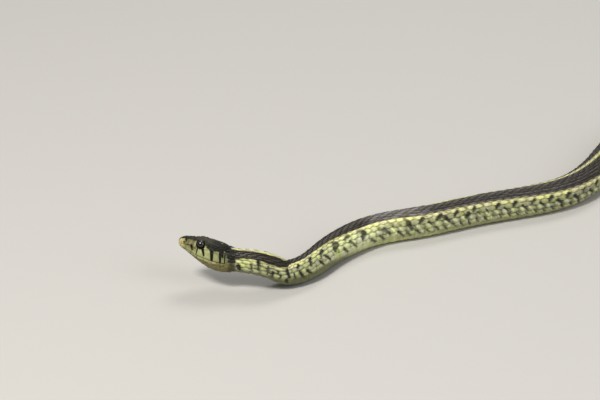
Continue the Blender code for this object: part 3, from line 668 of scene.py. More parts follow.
def sampled_path():
    """Distances along the animal from the snout to the tail, the belly line's points and its directions."""
    at, knots = natural_spline(WAYPOINTS)
    fine = at(np.linspace(0.0, knots[-1], PATH_SAMPLES)) + np.array(PATH_SHIFT)
    fine[:, 2] = np.maximum(fine[:, 2], 0.0)
    along = np.concatenate([[0.0], np.cumsum(np.linalg.norm(np.diff(fine, axis=0), axis=1))])
    rest = np.arange(0.0, along[-1], SAMPLE_STEP)
    body = np.stack([np.interp(rest, along, fine[:, k]) for k in range(3)], axis=1)
    forward = -unit(np.gradient(body, axis=0))
    pitch = math.radians(HEAD_PITCH_DEG)
    yaw = math.radians(HEAD_YAW_DEG)
    level = math.cos(pitch)
    skull = np.array([-level * math.cos(yaw), level * math.sin(yaw), math.sin(pitch)])
    ahead = np.arange(SAMPLE_STEP, HEAD_LENGTH + SNOUT_MARGIN, SAMPLE_STEP)
    mix = smooth(ahead / NAPE_LENGTH)[:, None]
    towards = unit(forward[0] * (1 - mix) + skull * mix)
    head = body[0] + np.cumsum(towards, axis=0) * SAMPLE_STEP
    s = np.concatenate([-ahead[::-1], rest])
    return s, np.concatenate([head[::-1], body]), np.concatenate([towards[::-1], forward])


PATH_S, PATH_POINTS, PATH_FORWARD = sampled_path()


def place(straight):
    """World points in metres of straight coordinates in millimetres."""
    s = straight[:, 0]
    base = np.stack([np.interp(s, PATH_S, PATH_POINTS[:, k]) for k in range(3)], axis=1)
    forward = unit(np.stack([np.interp(s, PATH_S, PATH_FORWARD[:, k]) for k in range(3)], axis=1))
    left = unit(np.cross([0.0, 0.0, 1.0], forward))
    up = np.cross(forward, left)
    roll = np.radians(HEAD_ROLL_DEG) * (1 - smooth(s / ROLL_FADE))
    cosine = np.cos(roll)[:, None]
    sine = np.sin(roll)[:, None]
    left, up = left * cosine + up * sine, up * cosine - left * sine
    return (base + left * straight[:, 1:2] + up * straight[:, 2:3]) * MM


def ring_sizes(s):
    """Half width, top, bottom, level, two powers and swell of the section at each s."""
    s = np.asarray(s, float)
    half = smoothed(WIDTHS, s, WIDTH_SMOOTHING) / 2
    height = 2 * half * HEIGHT_RATIO
    powers = [0 * s + value for value in BODY_POWERS]
    body = np.stack([half, height, 0 * s, WIDEST_LEVEL * height] + powers)
    x = -s
    head = np.stack([smoothed(HEAD_STATIONS, x, HEAD_SMOOTHING, k) for k in range(1, 8)])
    past = np.maximum(0.0, (x - (HEAD_LENGTH - SNOUT_CAP)) / SNOUT_CAP)
    keep = SNOUT_FLAT + (1 - SNOUT_FLAT) * np.sqrt(np.maximum(0.0, 1 - past * past))
    middle = (head[1] + head[2]) / 2
    head[0] *= keep
    for k in (1, 2, 3):
        head[k] = middle + (head[k] - middle) * keep
    sizes = np.where(s < 0, head, body)
    past = np.maximum(0.0, (s - (TAIL_TIP - TIP_ROUNDING)) / TIP_ROUNDING)
    sizes[:4] *= 1.0 - TIP_CLOSING * np.minimum(1.0, past) ** 2
    return sizes


def thinning(s, least):
    """Share of full thickness at s: 1 on the trunk, less on the thin end of the tail."""
    return np.clip(ring_sizes(s)[0] / FULL_HALF_WIDTH, least, 1.0)


def ring_arcs(s):
    """For each s: distances over the skin from the belly's middle up the left side, with y and z."""
    half, top, bottom, level, upper, lower, swell = [size[:, None] for size in ring_sizes(s)]
    turns = np.radians(np.linspace(-90.0, 270.0, RING_TURNS))
    cosine = np.cos(turns)[None]
    sine = np.sin(turns)[None]
    power = np.where(sine >= 0, upper, lower)
    reach = np.where(sine >= 0, top - level, (level - bottom) * swell)
    y = half * np.sign(cosine) * np.abs(cosine) ** (2 / power)
    z = np.maximum(level + reach * np.sign(sine) * np.abs(sine) ** (2 / power), bottom)
    steps = np.hypot(np.diff(y, axis=1), np.diff(z, axis=1))
    arcs = np.concatenate([0 * half, np.cumsum(steps, axis=1)], axis=1)
    return arcs, y, z


def ring_points(places, turns):
    """Points of the smooth skin on a ring at each place, at each ring's own turns."""
    arcs, ys, zs = ring_arcs(places)
    rings = []
    for row, s in enumerate(places):
        where = np.mod(turns[row] + 90, 360) / 360 * arcs[row, -1]
        y = np.interp(where, arcs[row], ys[row])
        z = np.interp(where, arcs[row], zs[row])
        rings.append(np.stack([0 * where + s, y, z], axis=1))
    return np.array(rings)


def ring_normals(rings):
    """Normals of a tube given as closed rings of points: outward where the rings run up the left side."""
    along = np.gradient(rings, axis=0)
    around = np.roll(rings, -1, axis=1) - np.roll(rings, 1, axis=1)
    return unit(np.cross(around, along))


def skin_grid():
    """Places of the rings of a grid over the skin, its points and normals, and the girth at each place."""
    places = np.arange(GRID_START, TAIL_TIP + GRID_STEP, GRID_STEP)
    turns = np.arange(GRID_TURNS) * 360.0 / GRID_TURNS - 90.0
    points = ring_points(places, np.tile(turns, (len(places), 1)))
    return places, points, ring_normals(points), ring_arcs(places)[0][:, -1]


GRID_S, GRID_POINTS, GRID_NORMALS, GRID_GIRTH = skin_grid()


def girth_at(s):
    return np.interp(s, GRID_S, GRID_GIRTH)


def on_skin(s, turn, height):
    """Straight coordinates of points that stand off the skin by height."""
    row = np.clip((s - GRID_S[0]) / GRID_STEP, 0, len(GRID_S) - 1.001)
    column = np.mod(turn + 90.0, 360.0) * GRID_TURNS / 360.0
    i = row.astype(int)
    j = np.minimum(column.astype(int), GRID_TURNS - 1)
    u = (row - i)[:, None]
    v = (column - j)[:, None]
    after = (j + 1) % GRID_TURNS

    def read(grid):
        low = grid[i, j] * (1 - v) + grid[i, after] * v
        high = grid[i + 1, j] * (1 - v) + grid[i + 1, after] * v
        return low * (1 - u) + high * u

    points = read(GRID_POINTS) + unit(read(GRID_NORMALS)) * height[:, None]
    points[:, 0] += np.clip(s - GRID_S[-1], 0, None)
    return points


def columns():
    """Place of each column of scales, from the nape to the tip of the tail."""
    places = [FIRST_COLUMN]
    while places[-1] < TAIL_TIP - TIP_MARGIN:
        places.append(places[-1] + float(table_at(SPACING, places[-1])))
    return np.array(places)


COLUMNS = columns()


def column_of(s):
    return np.interp(s, COLUMNS, np.arange(len(COLUMNS)))


def column_place(k):
    return np.interp(k, np.arange(len(COLUMNS)), COLUMNS)


def twist_at(s):
    return smoothed(TWIST, s, TWIST_SMOOTHING)


def side_turn(turn):
    """Turn measured the same way on both sides: 90 on the back and -90 on the belly."""
    return 90.0 - np.abs(np.mod(turn + 90.0, 360.0) - 180.0)


def rows_at(s):
    """Turn of the middle and half width of each row on the left side at s, and its share of full width."""
    full = np.array([row[0] for row in ROWS])
    ends = np.array([row[1] for row in ROWS])
    share = 1 - between(s, ends - ROW_FADE, ends)
    widths = full * share
    widths = widths * (90.0 - BELLY_TURN) / widths.sum()
    edges = BELLY_TURN + np.concatenate([[0.0], np.cumsum(widths)])
    return (edges[1:] + edges[:-1]) / 2, widths / 2, share


def mouth_table():
    """Distance over the skin from the back's middle to the mouth, and to the throat's middle, by x."""
    arcs, _, z = ring_arcs(-HEAD_X)
    levels = table_at(MOUTH_LINE, HEAD_X)
    left = slice(0, RING_TURNS // 2 + 1)
    mouth = []
    for row in range(len(HEAD_X)):
        at = np.interp(levels[row], z[row, left], arcs[row, left])
        mouth.append(arcs[row, -1] / 2 - at)
    return np.array(mouth), arcs[:, -1] / 2


HEAD_MOUTH, HEAD_THROAT = mouth_table()


def mouth_at(x):
    return np.interp(x, HEAD_X, HEAD_MOUTH)


def throat_at(x):
    return np.interp(x, HEAD_X, HEAD_THROAT)


# Paint of the neck, trunk and tail.
def blend(under, over, mask):
    return under + (np.asarray(over, float) - under) * np.clip(mask, 0, 1)[:, None]


def all_over(colour, count):
    return np.tile(np.array(colour, float), (count, 1))


def nearest(u, v, start, end):
    """Distance of points from the line from start to end, and their share of the way along it."""
    du = end[0] - start[0]
    dv = end[1] - start[1]
    share = np.clip(((u - start[0]) * du + (v - start[1]) * dv) / (du * du + dv * dv), 0, 1)
    return np.hypot(u - start[0] - share * du, v - start[1] - share * dv), share


def tinted(paint, tints, measures):
    """Paint with each tint of a list over it, limited by its spans."""
    for colour, strength, spans in tints:
        mask = strength
        for name, start, end in spans:
            mask = mask * between(measures[name], start, end)
        paint = blend(paint, colour, mask)
    return paint


def capsule(u, v, start, end, half, soft):
    """1 within half of the line from start to end, 0 outside, with an edge as wide as soft."""
    off, share = nearest(u, v, start, end)
    taper = half * (MARK_TAPER[0] - MARK_TAPER[1] * share)
    return between((taper - off) / soft, -0.5, 0.5)


def mark_row(s, b, right, row, seed, starts):
    """One mark for every so many columns of scales, each a little different, from its side's start on."""
    phase, every, start, end, half = row
    index = np.round((column_of(s) - phase) / every)
    chances = np.random.default_rng(seed).uniform(-1, 1, (2, 400, 4))
    dice = chances[right.astype(int), index.astype(int) + MARK_INDEX_START]
    shift, lean, spread = MARK_SCATTER
    gap = table_at(SPACING, s)
    per_degree = girth_at(s) / 360.0
    u = s - (column_place(index * every + phase) + shift * dice[:, 0])
    v = (b + lean * dice[:, 1]) * per_degree
    size = half * gap / FULL_SPACING * (1 + spread * dice[:, 2])
    ends = [(share * gap, turn * per_degree) for share, turn in (start, end)]
    return capsule(u, v, *ends, size, BODY_SOFT) * (s > np.where(right, starts[1], starts[0]))


def listed_marks(s, lean, right, marks):
    """Cover of a list of marks of the left flank, at places s and turns over the skin."""
    cover = np.zeros(len(s))
    near = np.flatnonzero(~right & (s > 0) & (s < MARKS_FROM[0]))
    if len(near) == 0:
        return cover
    s = s[near]
    v = lean[near] * girth_at(s) / 360.0
    for one_s, one_turn, two_s, two_turn, half in marks:
        places = ((one_s, one_turn), (two_s, two_turn))
        ends = [(at, turn * float(girth_at(at)) / 360.0) for at, turn in places]
        cover[near] = np.maximum(cover[near], capsule(s, v, *ends, half * BOLDNESS, BODY_SOFT))
    return cover


def dust_and_sheen(s, b):
    """Share of pale dust and painted sheen on the dark band, in one length of the trunk and grained along the
    columns.
    """
    level, grain, by_column, by_turn = DUST_AND_SHEEN_GRAIN
    after = between(s, *DUST_AND_SHEEN_END) + DUST_AND_SHEEN_AFTER * between(s, *DUST_AND_SHEEN_END[::-1])
    return between(s, *DUST_AND_SHEEN_START) * after * (level + grain * np.sin(column_of(s) * by_column + b * by_turn))


def body_colour(s, turn):
    """Colour at s and at a turn of the pattern."""
    count = len(s)
    b = side_turn(turn)
    right = np.mod(turn + 90.0, 360.0) > 180.0
    lean = b + twist_at(s)
    paint = blend(all_over(FLANK, count), FLECK, table_at(PALE_SHARE, s))
    for k, row in enumerate(PALE_ROWS):
        paint = blend(paint, FLECK, PALE_STRENGTH * mark_row(s, b, right, row, PALE_SEED + k, PALE_FROM))
    # Painted shade and light: the belly is darker where it lay in shadow near the neck and lighter where sun
    # fell on it further back.
    belly = np.array(BELLY) * table_at(BELLY_LIGHT_AND_SHADE, s)[:, None]
    paint = blend(paint, belly, between(b - table_at(BELLY_EDGE, s), *BELLY_SPAN))
    measures = {
        "s": s,
        "turn": b,
        "stripe": b - table_at(STRIPE_LOW, s),
        "collar": s - table_at(COLLAR_FRONT, b),
        "back": np.where(s > BACK_STRIPE_START, b - 90.0 + table_at(BACK_STRIPE_HALF, s), -90.0),
    }
    paint = tinted(paint, FLANK_TINTS, measures)
    paint = blend(paint, LIME, LIME_STRENGTH * listed_marks(s, lean, right, LEFT_LIMES))
    paint = blend(paint, FLANK, OLIVE_STRENGTH * listed_marks(s, lean, right, LEFT_OLIVES))
    # Painted sunlight: the flank's upper rows are lightened along the bend that faced the light.
    paint = paint * (1 + (table_at(FLANK_PAINTED_LIGHT, s) - 1) * between(lean, *FLANK_LIGHT_SPAN))[:, None]
    # The dark band carries pale dust and painted sheen on one length of the trunk.
    band = blend(all_over(DARK, count), DUST_AND_SHEEN, dust_and_sheen(s, b))
    edge = table_at(DARK_EDGE, s) + BAND_WAVE * np.sin(column_of(s) * 2 * math.pi)
    paint = blend(paint, band, between(b - edge, *BAND_SPAN))
    cover = table_at(SPOT_COVER, s)
    for k, row in enumerate(MARK_ROWS):
        paint = blend(paint, SPOT, cover * mark_row(s, b, right, row, MARK_SEED + k, MARKS_FROM))
    paint = blend(paint, SPOT, cover * listed_marks(s, lean, right, LEFT_SPOTS))
    return tinted(paint, NECK_TINTS, measures)


# Relief and paint of the head.
def marked(paint, marks, x, t):
    """Paint with each mark of a list over it."""
    for colour, strength, start, end, half, soft in marks:
        paint = blend(paint, colour, strength * capsule(x, t, start, end, half, soft))
    return paint


def lip_lines():
    """The lines between the lip plates and along their far edges."""
    lines = []
    for x, top in zip(UPPER_LIP_ENDS, UPPER_LIP_TOPS):
        lines.append([(x, float(mouth_at(x))), top])
    lower = []
    for x, depth in zip(LOWER_LIP_ENDS, LOWER_LIP_DEPTHS):
        at = float(mouth_at(x))
        foot = (x - LOWER_LIP_LEAN, at + depth)
        lines.append([(x, at), foot])
        lower.append(foot)
    return lines + [lower]


def chin_lines():
    return [[(x, float(throat_at(x)) - off) for x, off in line] for line in CHIN_LINES]


ALL_LINES = LINES + lip_lines() + chin_lines()


def line_distance(x, t):
    """Distance of points from the nearest line between the head's plates."""
    best = np.full(len(x), 1e9)
    for line in ALL_LINES:
        for start, end in zip(line, line[1:]):
            best = np.minimum(best, nearest(x, t, start, end)[0])
    return best


def throat_scales(x, t):
    """Distance from the edges of the small scales of the throat, as a lattice."""
    length, width, depth = THROAT_SCALE
    u = x / length
    v = (throat_at(x) - t) / width
    one = np.abs(np.mod(u + v, 1.0) - 0.5)
    two = np.abs(np.mod(u - v, 1.0) - 0.5)
    return (0.5 - np.maximum(one, two)) * depth


def eye_offset(x, z):
    """Distance from the eye's axis as a share of its radii."""
    return np.hypot((x - EYE_AT[0]) / EYE_RADII[0], (z - EYE_AT[2]) / EYE_RADII[2])


def nostril_offset(x, z):
    return np.hypot((x - NOSTRIL_AT[0]) / NOSTRIL_RADII[0], (z - NOSTRIL_AT[1]) / NOSTRIL_RADII[1])


def scale_start(turn):
    """How far forward the loose scales begin, by the turn round the head."""
    return table_at(SCALE_START, side_turn(turn))


def head_relief(x, t, turn, y, z):
    """Height of the head's skin over its smooth form."""
    mouth = t - mouth_at(x)
    seam = line_distance(x, t)
    throat = (mouth > THROAT_SCALES_OFF) & (x < THROAT_SCALES_FRONT)
    throat |= (mouth > -THROAT_SCALES_OFF) & (x < MOUTH_CORNER - JAW_SCALES_BEHIND)
    seam = np.where(throat, np.minimum(seam, throat_scales(x, t)), seam)
    front = between(x, *SNOUT_FADE)
    gape = between(x, MOUTH_CORNER - MOUTH_FADE, MOUTH_CORNER + MOUTH_FADE)
    relief = PLATE_RISE * between(seam, 0.0, PLATE_SLOPE) - GROOVE * hump(seam, 0.0, GROOVE_WIDTH)
    relief = relief * front * (1 - hump(mouth, 0.0, MOUTH_CLEAR) * gape)
    relief -= MOUTH_DEPTH * hump(mouth, 0.0, MOUTH_WIDTH) * gape
    rolls = sum(share * hump(mouth, off, spread) for off, spread, share in LIP_ROLLS)
    relief += LIP_RISE * rolls * gape * front
    nostril = nostril_offset(x, z)
    hollow = NOSTRIL_DEPTH * (1 - between(nostril, *NOSTRIL_SPAN))
    relief += NOSTRIL_RIM_RISE * hump(nostril, *NOSTRIL_RIM) - hollow
    rho = eye_offset(x, z)
    side = np.abs(y) > SIDE_FROM
    brow = hump(rho, *BROW) * between(z, EYE_AT[2] + BROW_LEVELS[0], EYE_AT[2] + BROW_LEVELS[1])
    relief += side * BROW_RISE * brow
    socket = relief * between(rho, *SOCKET_EDGE) - SOCKET_DEPTH * (1 - between(rho, *SOCKET_WALL))
    relief = np.where(side, socket, relief)
    start = scale_start(turn)
    under = between(x, start + SINK_SPAN[0], start + SINK_SPAN[1])
    return relief * (1 - under) - SKIN_SINK * under


def head_colour(x, t, y, z):
    """Colour of the head at x and t, on either side."""
    count = len(x)
    side = np.abs(y) > SIDE_FROM
    mouth = t - mouth_at(x)
    measures = {
        "x": x,
        "mouth": mouth,
        "edge": t - table_at(FACE_EDGE, x),
        "nostril": nostril_offset(x, z),
        "eye": np.where(side, eye_offset(x, z), FAR),
        "gape": np.where(x > MOUTH_CORNER, np.abs(mouth), FAR),
    }
    face = between(measures["edge"], *FACE[1:])
    loss = sum(share * between(x, start, end) for share, start, end in LIP_LOSSES)
    crown = np.array(CROWN) * table_at(CROWN_SHADE, x)[:, None]
    paint = blend(crown, np.array(LIP) * (1 - loss)[:, None], face)
    paint = marked(tinted(paint, FACE_TINTS, measures), FACE_MARKS, x, t)
    # Under the mouth: the throat's colour, darkened in part as painted shade under the jaw.
    throat = tinted(all_over(THROAT, count), THROAT_TINTS, measures)
    paint = blend(paint, throat, between(mouth, *THROAT_FROM))
    paint = tinted(marked(paint, LAST_MARKS, x, t), LAST_TINTS, measures)
    seam = between(line_distance(x, t), *SEAM_DARK) * face
    grain = np.random.default_rng(5).uniform(-1, 1, count)
    return np.clip(paint * ((1 - SEAM_LOSS * seam) * (1 + FACE_GRAIN * grain))[:, None], 0, 1)


def skin_colour(s, turn, y, z):
    """Colour of the skin at s and at a turn round the body, from the head's paint and the body's."""
    body = body_colour(s, turn - twist_at(s))
    x = -s
    b = side_turn(turn)
    t = (90.0 - b) / 180.0 * throat_at(x)
    mask = np.where(b < 0, between(x, *HEAD_PAINT_LOW), between(x, *HEAD_PAINT_HIGH))
    paint = blend(body, head_colour(x, t, y, z), mask)
    return paint * (1 - HIDDEN_LOSS * between(s, *HIDDEN_SPAN))[:, None]


# Meshes.
def new_object(name, data):
    obj = bpy.data.objects.new(name, data)
    bpy.context.scene.collection.objects.link(obj)
    return obj


def store(mesh, name, kind, values):
    attribute = mesh.attributes.new(name, kind, "POINT")
    key = {"FLOAT": "value", "FLOAT_VECTOR": "vector", "FLOAT_COLOR": "color"}[kind]
    attribute.data.foreach_set(key, np.asarray(values, np.float32).ravel())


def read_attribute(mesh, name):
    values = np.zeros(len(mesh.vertices), np.float32)
    mesh.attributes[name].data.foreach_get("value", values)
    return values.astype(float)


def paint_mesh(mesh, colours):
    store(mesh, "markings", "FLOAT_COLOR", np.concatenate([colours, np.ones((len(colours), 1))], axis=1))


def outward(mesh):
    """Turns every face outwards and shades the mesh smoothly. The first update is what tells the faces
    that the points have moved."""
    mesh.update()
    bm = bmesh.new()
    bm.from_mesh(mesh)
    bmesh.ops.recalc_face_normals(bm, faces=bm.faces)
    bm.to_mesh(mesh)
    bm.free()
    mesh.polygons.foreach_set("use_smooth", [True] * len(mesh.polygons))
    mesh.update()


def head_turns(s):
    """Turns of the head's ring of points, with one pair on the line of the mouth."""
    x = -s
    mouth = float(mouth_at(x))
    total = float(throat_at(x))
    upper = np.linspace(0, 1, UPPER_STEPS + 1)
    upper = mouth * (1 - (1 - upper) ** UPPER_CROWDING)
    lower = np.linspace(0, 1, HEAD_AROUND // 2 - UPPER_STEPS + 1)[1:]
    lower = mouth + (total - mouth) * lower**LOWER_CROWDING
    left = np.concatenate([upper, lower]) / total * 180.0
    even = np.linspace(0, 180, HEAD_AROUND // 2 + 1)
    mix = float(between(x, *MOUTH_COLUMNS_SPAN))
    left = left * mix + even * (1 - mix)
    return np.concatenate([90 - left, 90 + left[-2:0:-1]])


def ring_places():
    """Places of the skin's rings on the head and behind it."""
    cap = HEAD_LENGTH - SNOUT_CAP
    angles = np.radians(np.linspace(90, 0, CAP_RINGS)[1:])
    snout = cap + SNOUT_CAP * np.sin(angles)
    ahead = np.arange(cap - HEAD_RING_STEP, HEAD_RINGS_END, -HEAD_RING_STEP)
    head = -np.concatenate([snout, ahead])
    nape = np.arange(head[-1] + NAPE_GAP, NAPE_RINGS_END, NAPE_RING_STEP)
    body = np.arange(NAPE_RINGS_END, TAIL_TIP - TIP_MARGIN, BODY_RING_STEP)
    return head, np.concatenate([nape, body, TAIL_TIP - np.array(TIP_RINGS)])


def tube_faces(first, rings, around, mirrored_from):
    """Quads of a tube. Those of the mirrored half start one corner later, so that they are cut into
    triangles as a mirror of the other half."""
    faces = []
    for a in range(first, first + (rings - 1) * around, around):
        for k in range(around):
            n = (k + 1) % around
            face = (a + k, a + n, a + around + n, a + around + k)
            faces.append(face if k < mirrored_from else face[1:] + face[:1])
    return faces


def skin_faces(head_rings, body_rings):
    """Faces of the skin: the head's tube, the body's tube, what joins them, and the two closed ends."""
    last = (head_rings - 1) * HEAD_AROUND
    first = head_rings * HEAD_AROUND
    end = first + (body_rings - 1) * BODY_AROUND
    nose = end + BODY_AROUND
    faces = tube_faces(0, head_rings, HEAD_AROUND, HEAD_AROUND // 2)
    for k in range(BODY_AROUND):
        joint = (last + 2 * k, last + 2 * k + 1, last + (2 * k + 2) % HEAD_AROUND)
        faces.append(joint + (first + (k + 1) % BODY_AROUND, first + k))
    faces += tube_faces(first, body_rings, BODY_AROUND, BODY_AROUND)
    faces += [(nose, (k + 1) % HEAD_AROUND, k) for k in range(HEAD_AROUND)]
    faces += [(nose + 1, end + k, end + (k + 1) % BODY_AROUND) for k in range(BODY_AROUND)]
    return faces


def end_point(s):
    return np.array([[s, 0.0, float(ring_sizes([s])[3][0])]])


def skin_mesh():
    """The whole skin with the head's relief, a little below the loose scales where they cover it."""
    head_s, body_s = ring_places()
    head_turn = np.array([head_turns(s) for s in head_s])
    even = 90 - np.linspace(0, 360, BODY_AROUND + 1)[:-1]
    body_turn = np.tile(even, (len(body_s), 1))
    head = ring_points(head_s, head_turn)
    body = ring_points(body_s, body_turn)
    s, y, z = head.reshape(-1, 3).T
    turn = head_turn.ravel()
    t = (90.0 - side_turn(turn)) / 180.0 * throat_at(-s)
    relief = head_relief(-s, t, turn, y, z).reshape(head_turn.shape)
    raised = head - ring_normals(head) * relief[:, :, None]
    sunk = body + ring_normals(body) * (SKIN_SINK * thinning(body_s, THINNEST_SKIN))[:, None, None]
    ends = [end_point(-HEAD_LENGTH), end_point(TAIL_TIP)]
    points = np.concatenate([raised.reshape(-1, 3), sunk.reshape(-1, 3), *ends])
    mesh = bpy.data.meshes.new("skin")
    mesh.from_pydata(place(points).tolist(), [], skin_faces(len(head_s), len(body_s)))
    smooth_points = np.concatenate([head.reshape(-1, 3), body.reshape(-1, 3), *ends])
    turns = np.concatenate([turn, body_turn.ravel(), [90.0, 90.0]])
    paint_mesh(mesh, skin_colour(smooth_points[:, 0], turns, smooth_points[:, 1], smooth_points[:, 2]))
    return mesh


# Shapes of the plates.
def scale_outline(v):
    """Half width of a back scale at v from root to tip, as a share of the widest."""
    return table_at(SCALE_OUTLINE, v)


def rise(v, curve):
    return ROOT_SINK * (1 - (1 - v) ** curve) - ROOT_SINK - SEAT


def keeled_height(u, v):
    crown = CROWNING * (1 - u * u) * (1 - CROWNING_LOSS * v)
    keel = KEEL_HEIGHT * hump(u, 0, KEEL_WIDTH) * between(v, *KEEL_START)
    return float(rise(v, SCALE_CURVE) + crown + keel * (1 - KEEL_LOSS * between(v, *KEEL_END)))


def belly_height(u, v):
    return rise(v, PLATE_CURVE) - PLATE_RIM_DROP * abs(u) ** PLATE_RIM_POWER


def template(name, grid, outline, height, thickness):
    """A closed plate: x from root to tip 0 to 1, y across -1 to 1, z up in millimetres."""
    us, vs, keep = grid
    bm = bmesh.new()
    top = []
    low = []
    for v in vs:
        row = [(v, u * outline(v), height(u, v)) for u in us]
        top.append([bm.verts.new(point) for point in row])
        low.append([bm.verts.new((row[k][0], row[k][1], row[k][2] - thickness)) for k in keep])
    for r in range(len(vs) - 1):
        for k in range(len(us) - 1):
            bm.faces.new((top[r][k], top[r + 1][k], top[r + 1][k + 1], top[r][k + 1]))
        for k in range(len(keep) - 1):
            bm.faces.new((low[r][k], low[r][k + 1], low[r + 1][k + 1], low[r + 1][k]))
        bm.faces.new((top[r][0], low[r][0], low[r + 1][0], top[r + 1][0]))
        bm.faces.new((top[r][-1], top[r + 1][-1], low[r + 1][-1], low[r][-1]))
    for r, flip in ((0, False), (len(vs) - 1, True)):
        for k in range(len(keep) - 1):
            loop = top[r][keep[k] : keep[k + 1] + 1] + [low[r][k + 1], low[r][k]]
            bm.faces.new(loop[::-1] if flip else loop)
    bmesh.ops.recalc_face_normals(bm, faces=bm.faces)
    mesh = bpy.data.meshes.new(name)
    bm.to_mesh(mesh)
    bm.free()
    mesh.polygons.foreach_set("use_smooth", [True] * len(mesh.polygons))
    return new_object(name, mesh)


def add_node(tree, kind, inputs, **settings):
    """A new node with its settings, each of its inputs given a value or linked from a socket."""
    node = tree.nodes.new(kind)
    for name, value in settings.items():
        setattr(node, name, value)
    for key, value in inputs.items():
        if isinstance(value, bpy.types.NodeSocket):
            tree.links.new(value, node.inputs[key])
        else:
            node.inputs[key].default_value = value
    return node


def add_sockets(tree, direction, sockets):
    for name, kind in sockets.items():
        tree.interface.new_socket(name, in_out=direction, socket_type="NodeSocket" + kind)


def scatter_tree():
    """Geometry Nodes: a shape on each point, scaled by the attribute size and by three factors."""
    tree = bpy.data.node_groups.new("scales_on_points", "GeometryNodeTree")
    factors = {"Length": "Float", "Width": "Float", "Height": "Float"}
    add_sockets(tree, "INPUT", {"Geometry": "Geometry", "Shape": "Object", **factors, "Material": "Material"})
    add_sockets(tree, "OUTPUT", {"Geometry": "Geometry"})
    given = add_node(tree, "NodeGroupInput", {}).outputs
    shape = add_node(tree, "GeometryNodeObjectInfo", {"Object": given["Shape"]}).outputs["Geometry"]
    size = add_node(tree, "GeometryNodeInputNamedAttribute", {"Name": "size"}, data_type="FLOAT_VECTOR")
    sides = {"X": given["Length"], "Y": given["Width"], "Z": given["Height"]}
    factor = add_node(tree, "ShaderNodeCombineXYZ", sides)
    both = {0: size.outputs["Attribute"], 1: factor.outputs[0]}
    scale = add_node(tree, "ShaderNodeVectorMath", both, operation="MULTIPLY")
    ends = {"Points": given["Geometry"], "Instance": shape, "Scale": scale.outputs[0]}
    put = add_node(tree, "GeometryNodeInstanceOnPoints", ends)
    real = add_node(tree, "GeometryNodeRealizeInstances", {"Geometry": put.outputs["Instances"]})
    coated = {"Geometry": real.outputs["Geometry"], "Material": given["Material"]}
    finish = add_node(tree, "GeometryNodeSetMaterial", coated)
    add_node(tree, "NodeGroupOutput", {"Geometry": finish.outputs["Geometry"]})
    return tree


def socket_of(tree, name):
    for item in tree.interface.items_tree:
        if item.item_type == "SOCKET" and item.in_out == "INPUT" and item.name == name:
            return item.identifier


# The coat.
def scale_spots(start, end):
    """Place, turn and half width in degrees of each back scale whose root lies from start to end."""
    spots = []
    for k in range(len(COLUMNS) - 1):
        for row in range(len(ROWS)):
            s = float(column_place(k + (0.5 if row % 2 else 0.0)))
            centres, halves, shares = rows_at(s)
            if not start <= s < end or s > TAIL_TIP - BARE_TIP or shares[row] < ROW_LEAST:
                continue
            if row == len(ROWS) - 1:
                sides = [(90.0, 2 * halves[row])]
            else:
                sides = [(centres[row], halves[row]), (180.0 - centres[row], halves[row])]
            for turn, half in sides:
                if -s <= float(scale_start(turn)) + SCALE_START_MARGIN:
                    spots.append((s, turn, half))
    return spots


def belly_spots():
    """Place, turn and half width of each broad plate of the belly."""
    return [(s, -90.0, 90.0 + BELLY_TURN) for s in COLUMNS[:-1] if BELLY_START <= s < VENT]


def tail_spots():
    """Place, turn and half width of each plate under the tail, in two rows."""
    spots = []
    for k, column in enumerate(COLUMNS[:-1]):
        if VENT <= column < TAIL_TIP - BARE_TIP:
            left = float(column_place(k + TAIL_PLATE_SHIFT))
            spots.append((left, -90.0 + TAIL_PLATE_HALF, TAIL_PLATE_HALF))
            spots.append((column, 270.0 - TAIL_PLATE_HALF, TAIL_PLATE_HALF))
    return spots


def scale_paint(s, pattern, root_s, root_turn, along, across):
    """Colour of the back's scales: the markings where they lie, drawn a little to each scale's own."""
    flank = side_turn(root_turn) < FLANK_BELOW
    own = body_colour(root_s + 0.5 * table_at(SPACING, root_s), root_turn)
    paint = body_colour(s, pattern)
    paint = np.where(flank[:, None], paint, paint * (1 - OWN_SHARE) + own * OWN_SHARE)
    sides = between(np.abs(across) / scale_outline(along), *RIM_SIDES)
    rim = np.clip(sides + between(along, *RIM_TIP), 0, 1) * flank
    return paint * (1 - RIM_LOSS * rim)[:, None] * (1 - ROOT_LOSS * between(along, *ROOT_SPAN))[:, None]


def plate_paint(s, pattern, root_s, root_turn, along, across):
    """Colour of the plates under the belly and tail."""
    return body_colour(s, pattern) * (1 - PLATE_ROOT_LOSS * between(along, *PLATE_ROOT_SPAN))[:, None]


def scatter(name, points, attributes, overlap, shape):
    """One copy of a shape at each point, made by Geometry Nodes and realized."""
    mesh = bpy.data.meshes.new(name)
    mesh.from_pydata(points, [], [])
    for key, values in attributes.items():
        store(mesh, key, "FLOAT_VECTOR" if key == "size" else "FLOAT", values)
    obj = new_object(name, mesh)
    modifier = obj.modifiers.new("scales", "NODES")
    modifier.node_group = SCATTER_TREE
    inputs = {"Shape": shape, "Material": SCALE_MATERIAL, **dict(zip(("Length", "Width", "Height"), overlap))}
    for key, value in inputs.items():
        modifier[socket_of(SCATTER_TREE, key)] = value
    graph = bpy.context.evaluated_depsgraph_get()
    made = bpy.data.meshes.new_from_object(obj.evaluated_get(graph))
    obj.modifiers.clear()
    obj.data = made
    return obj


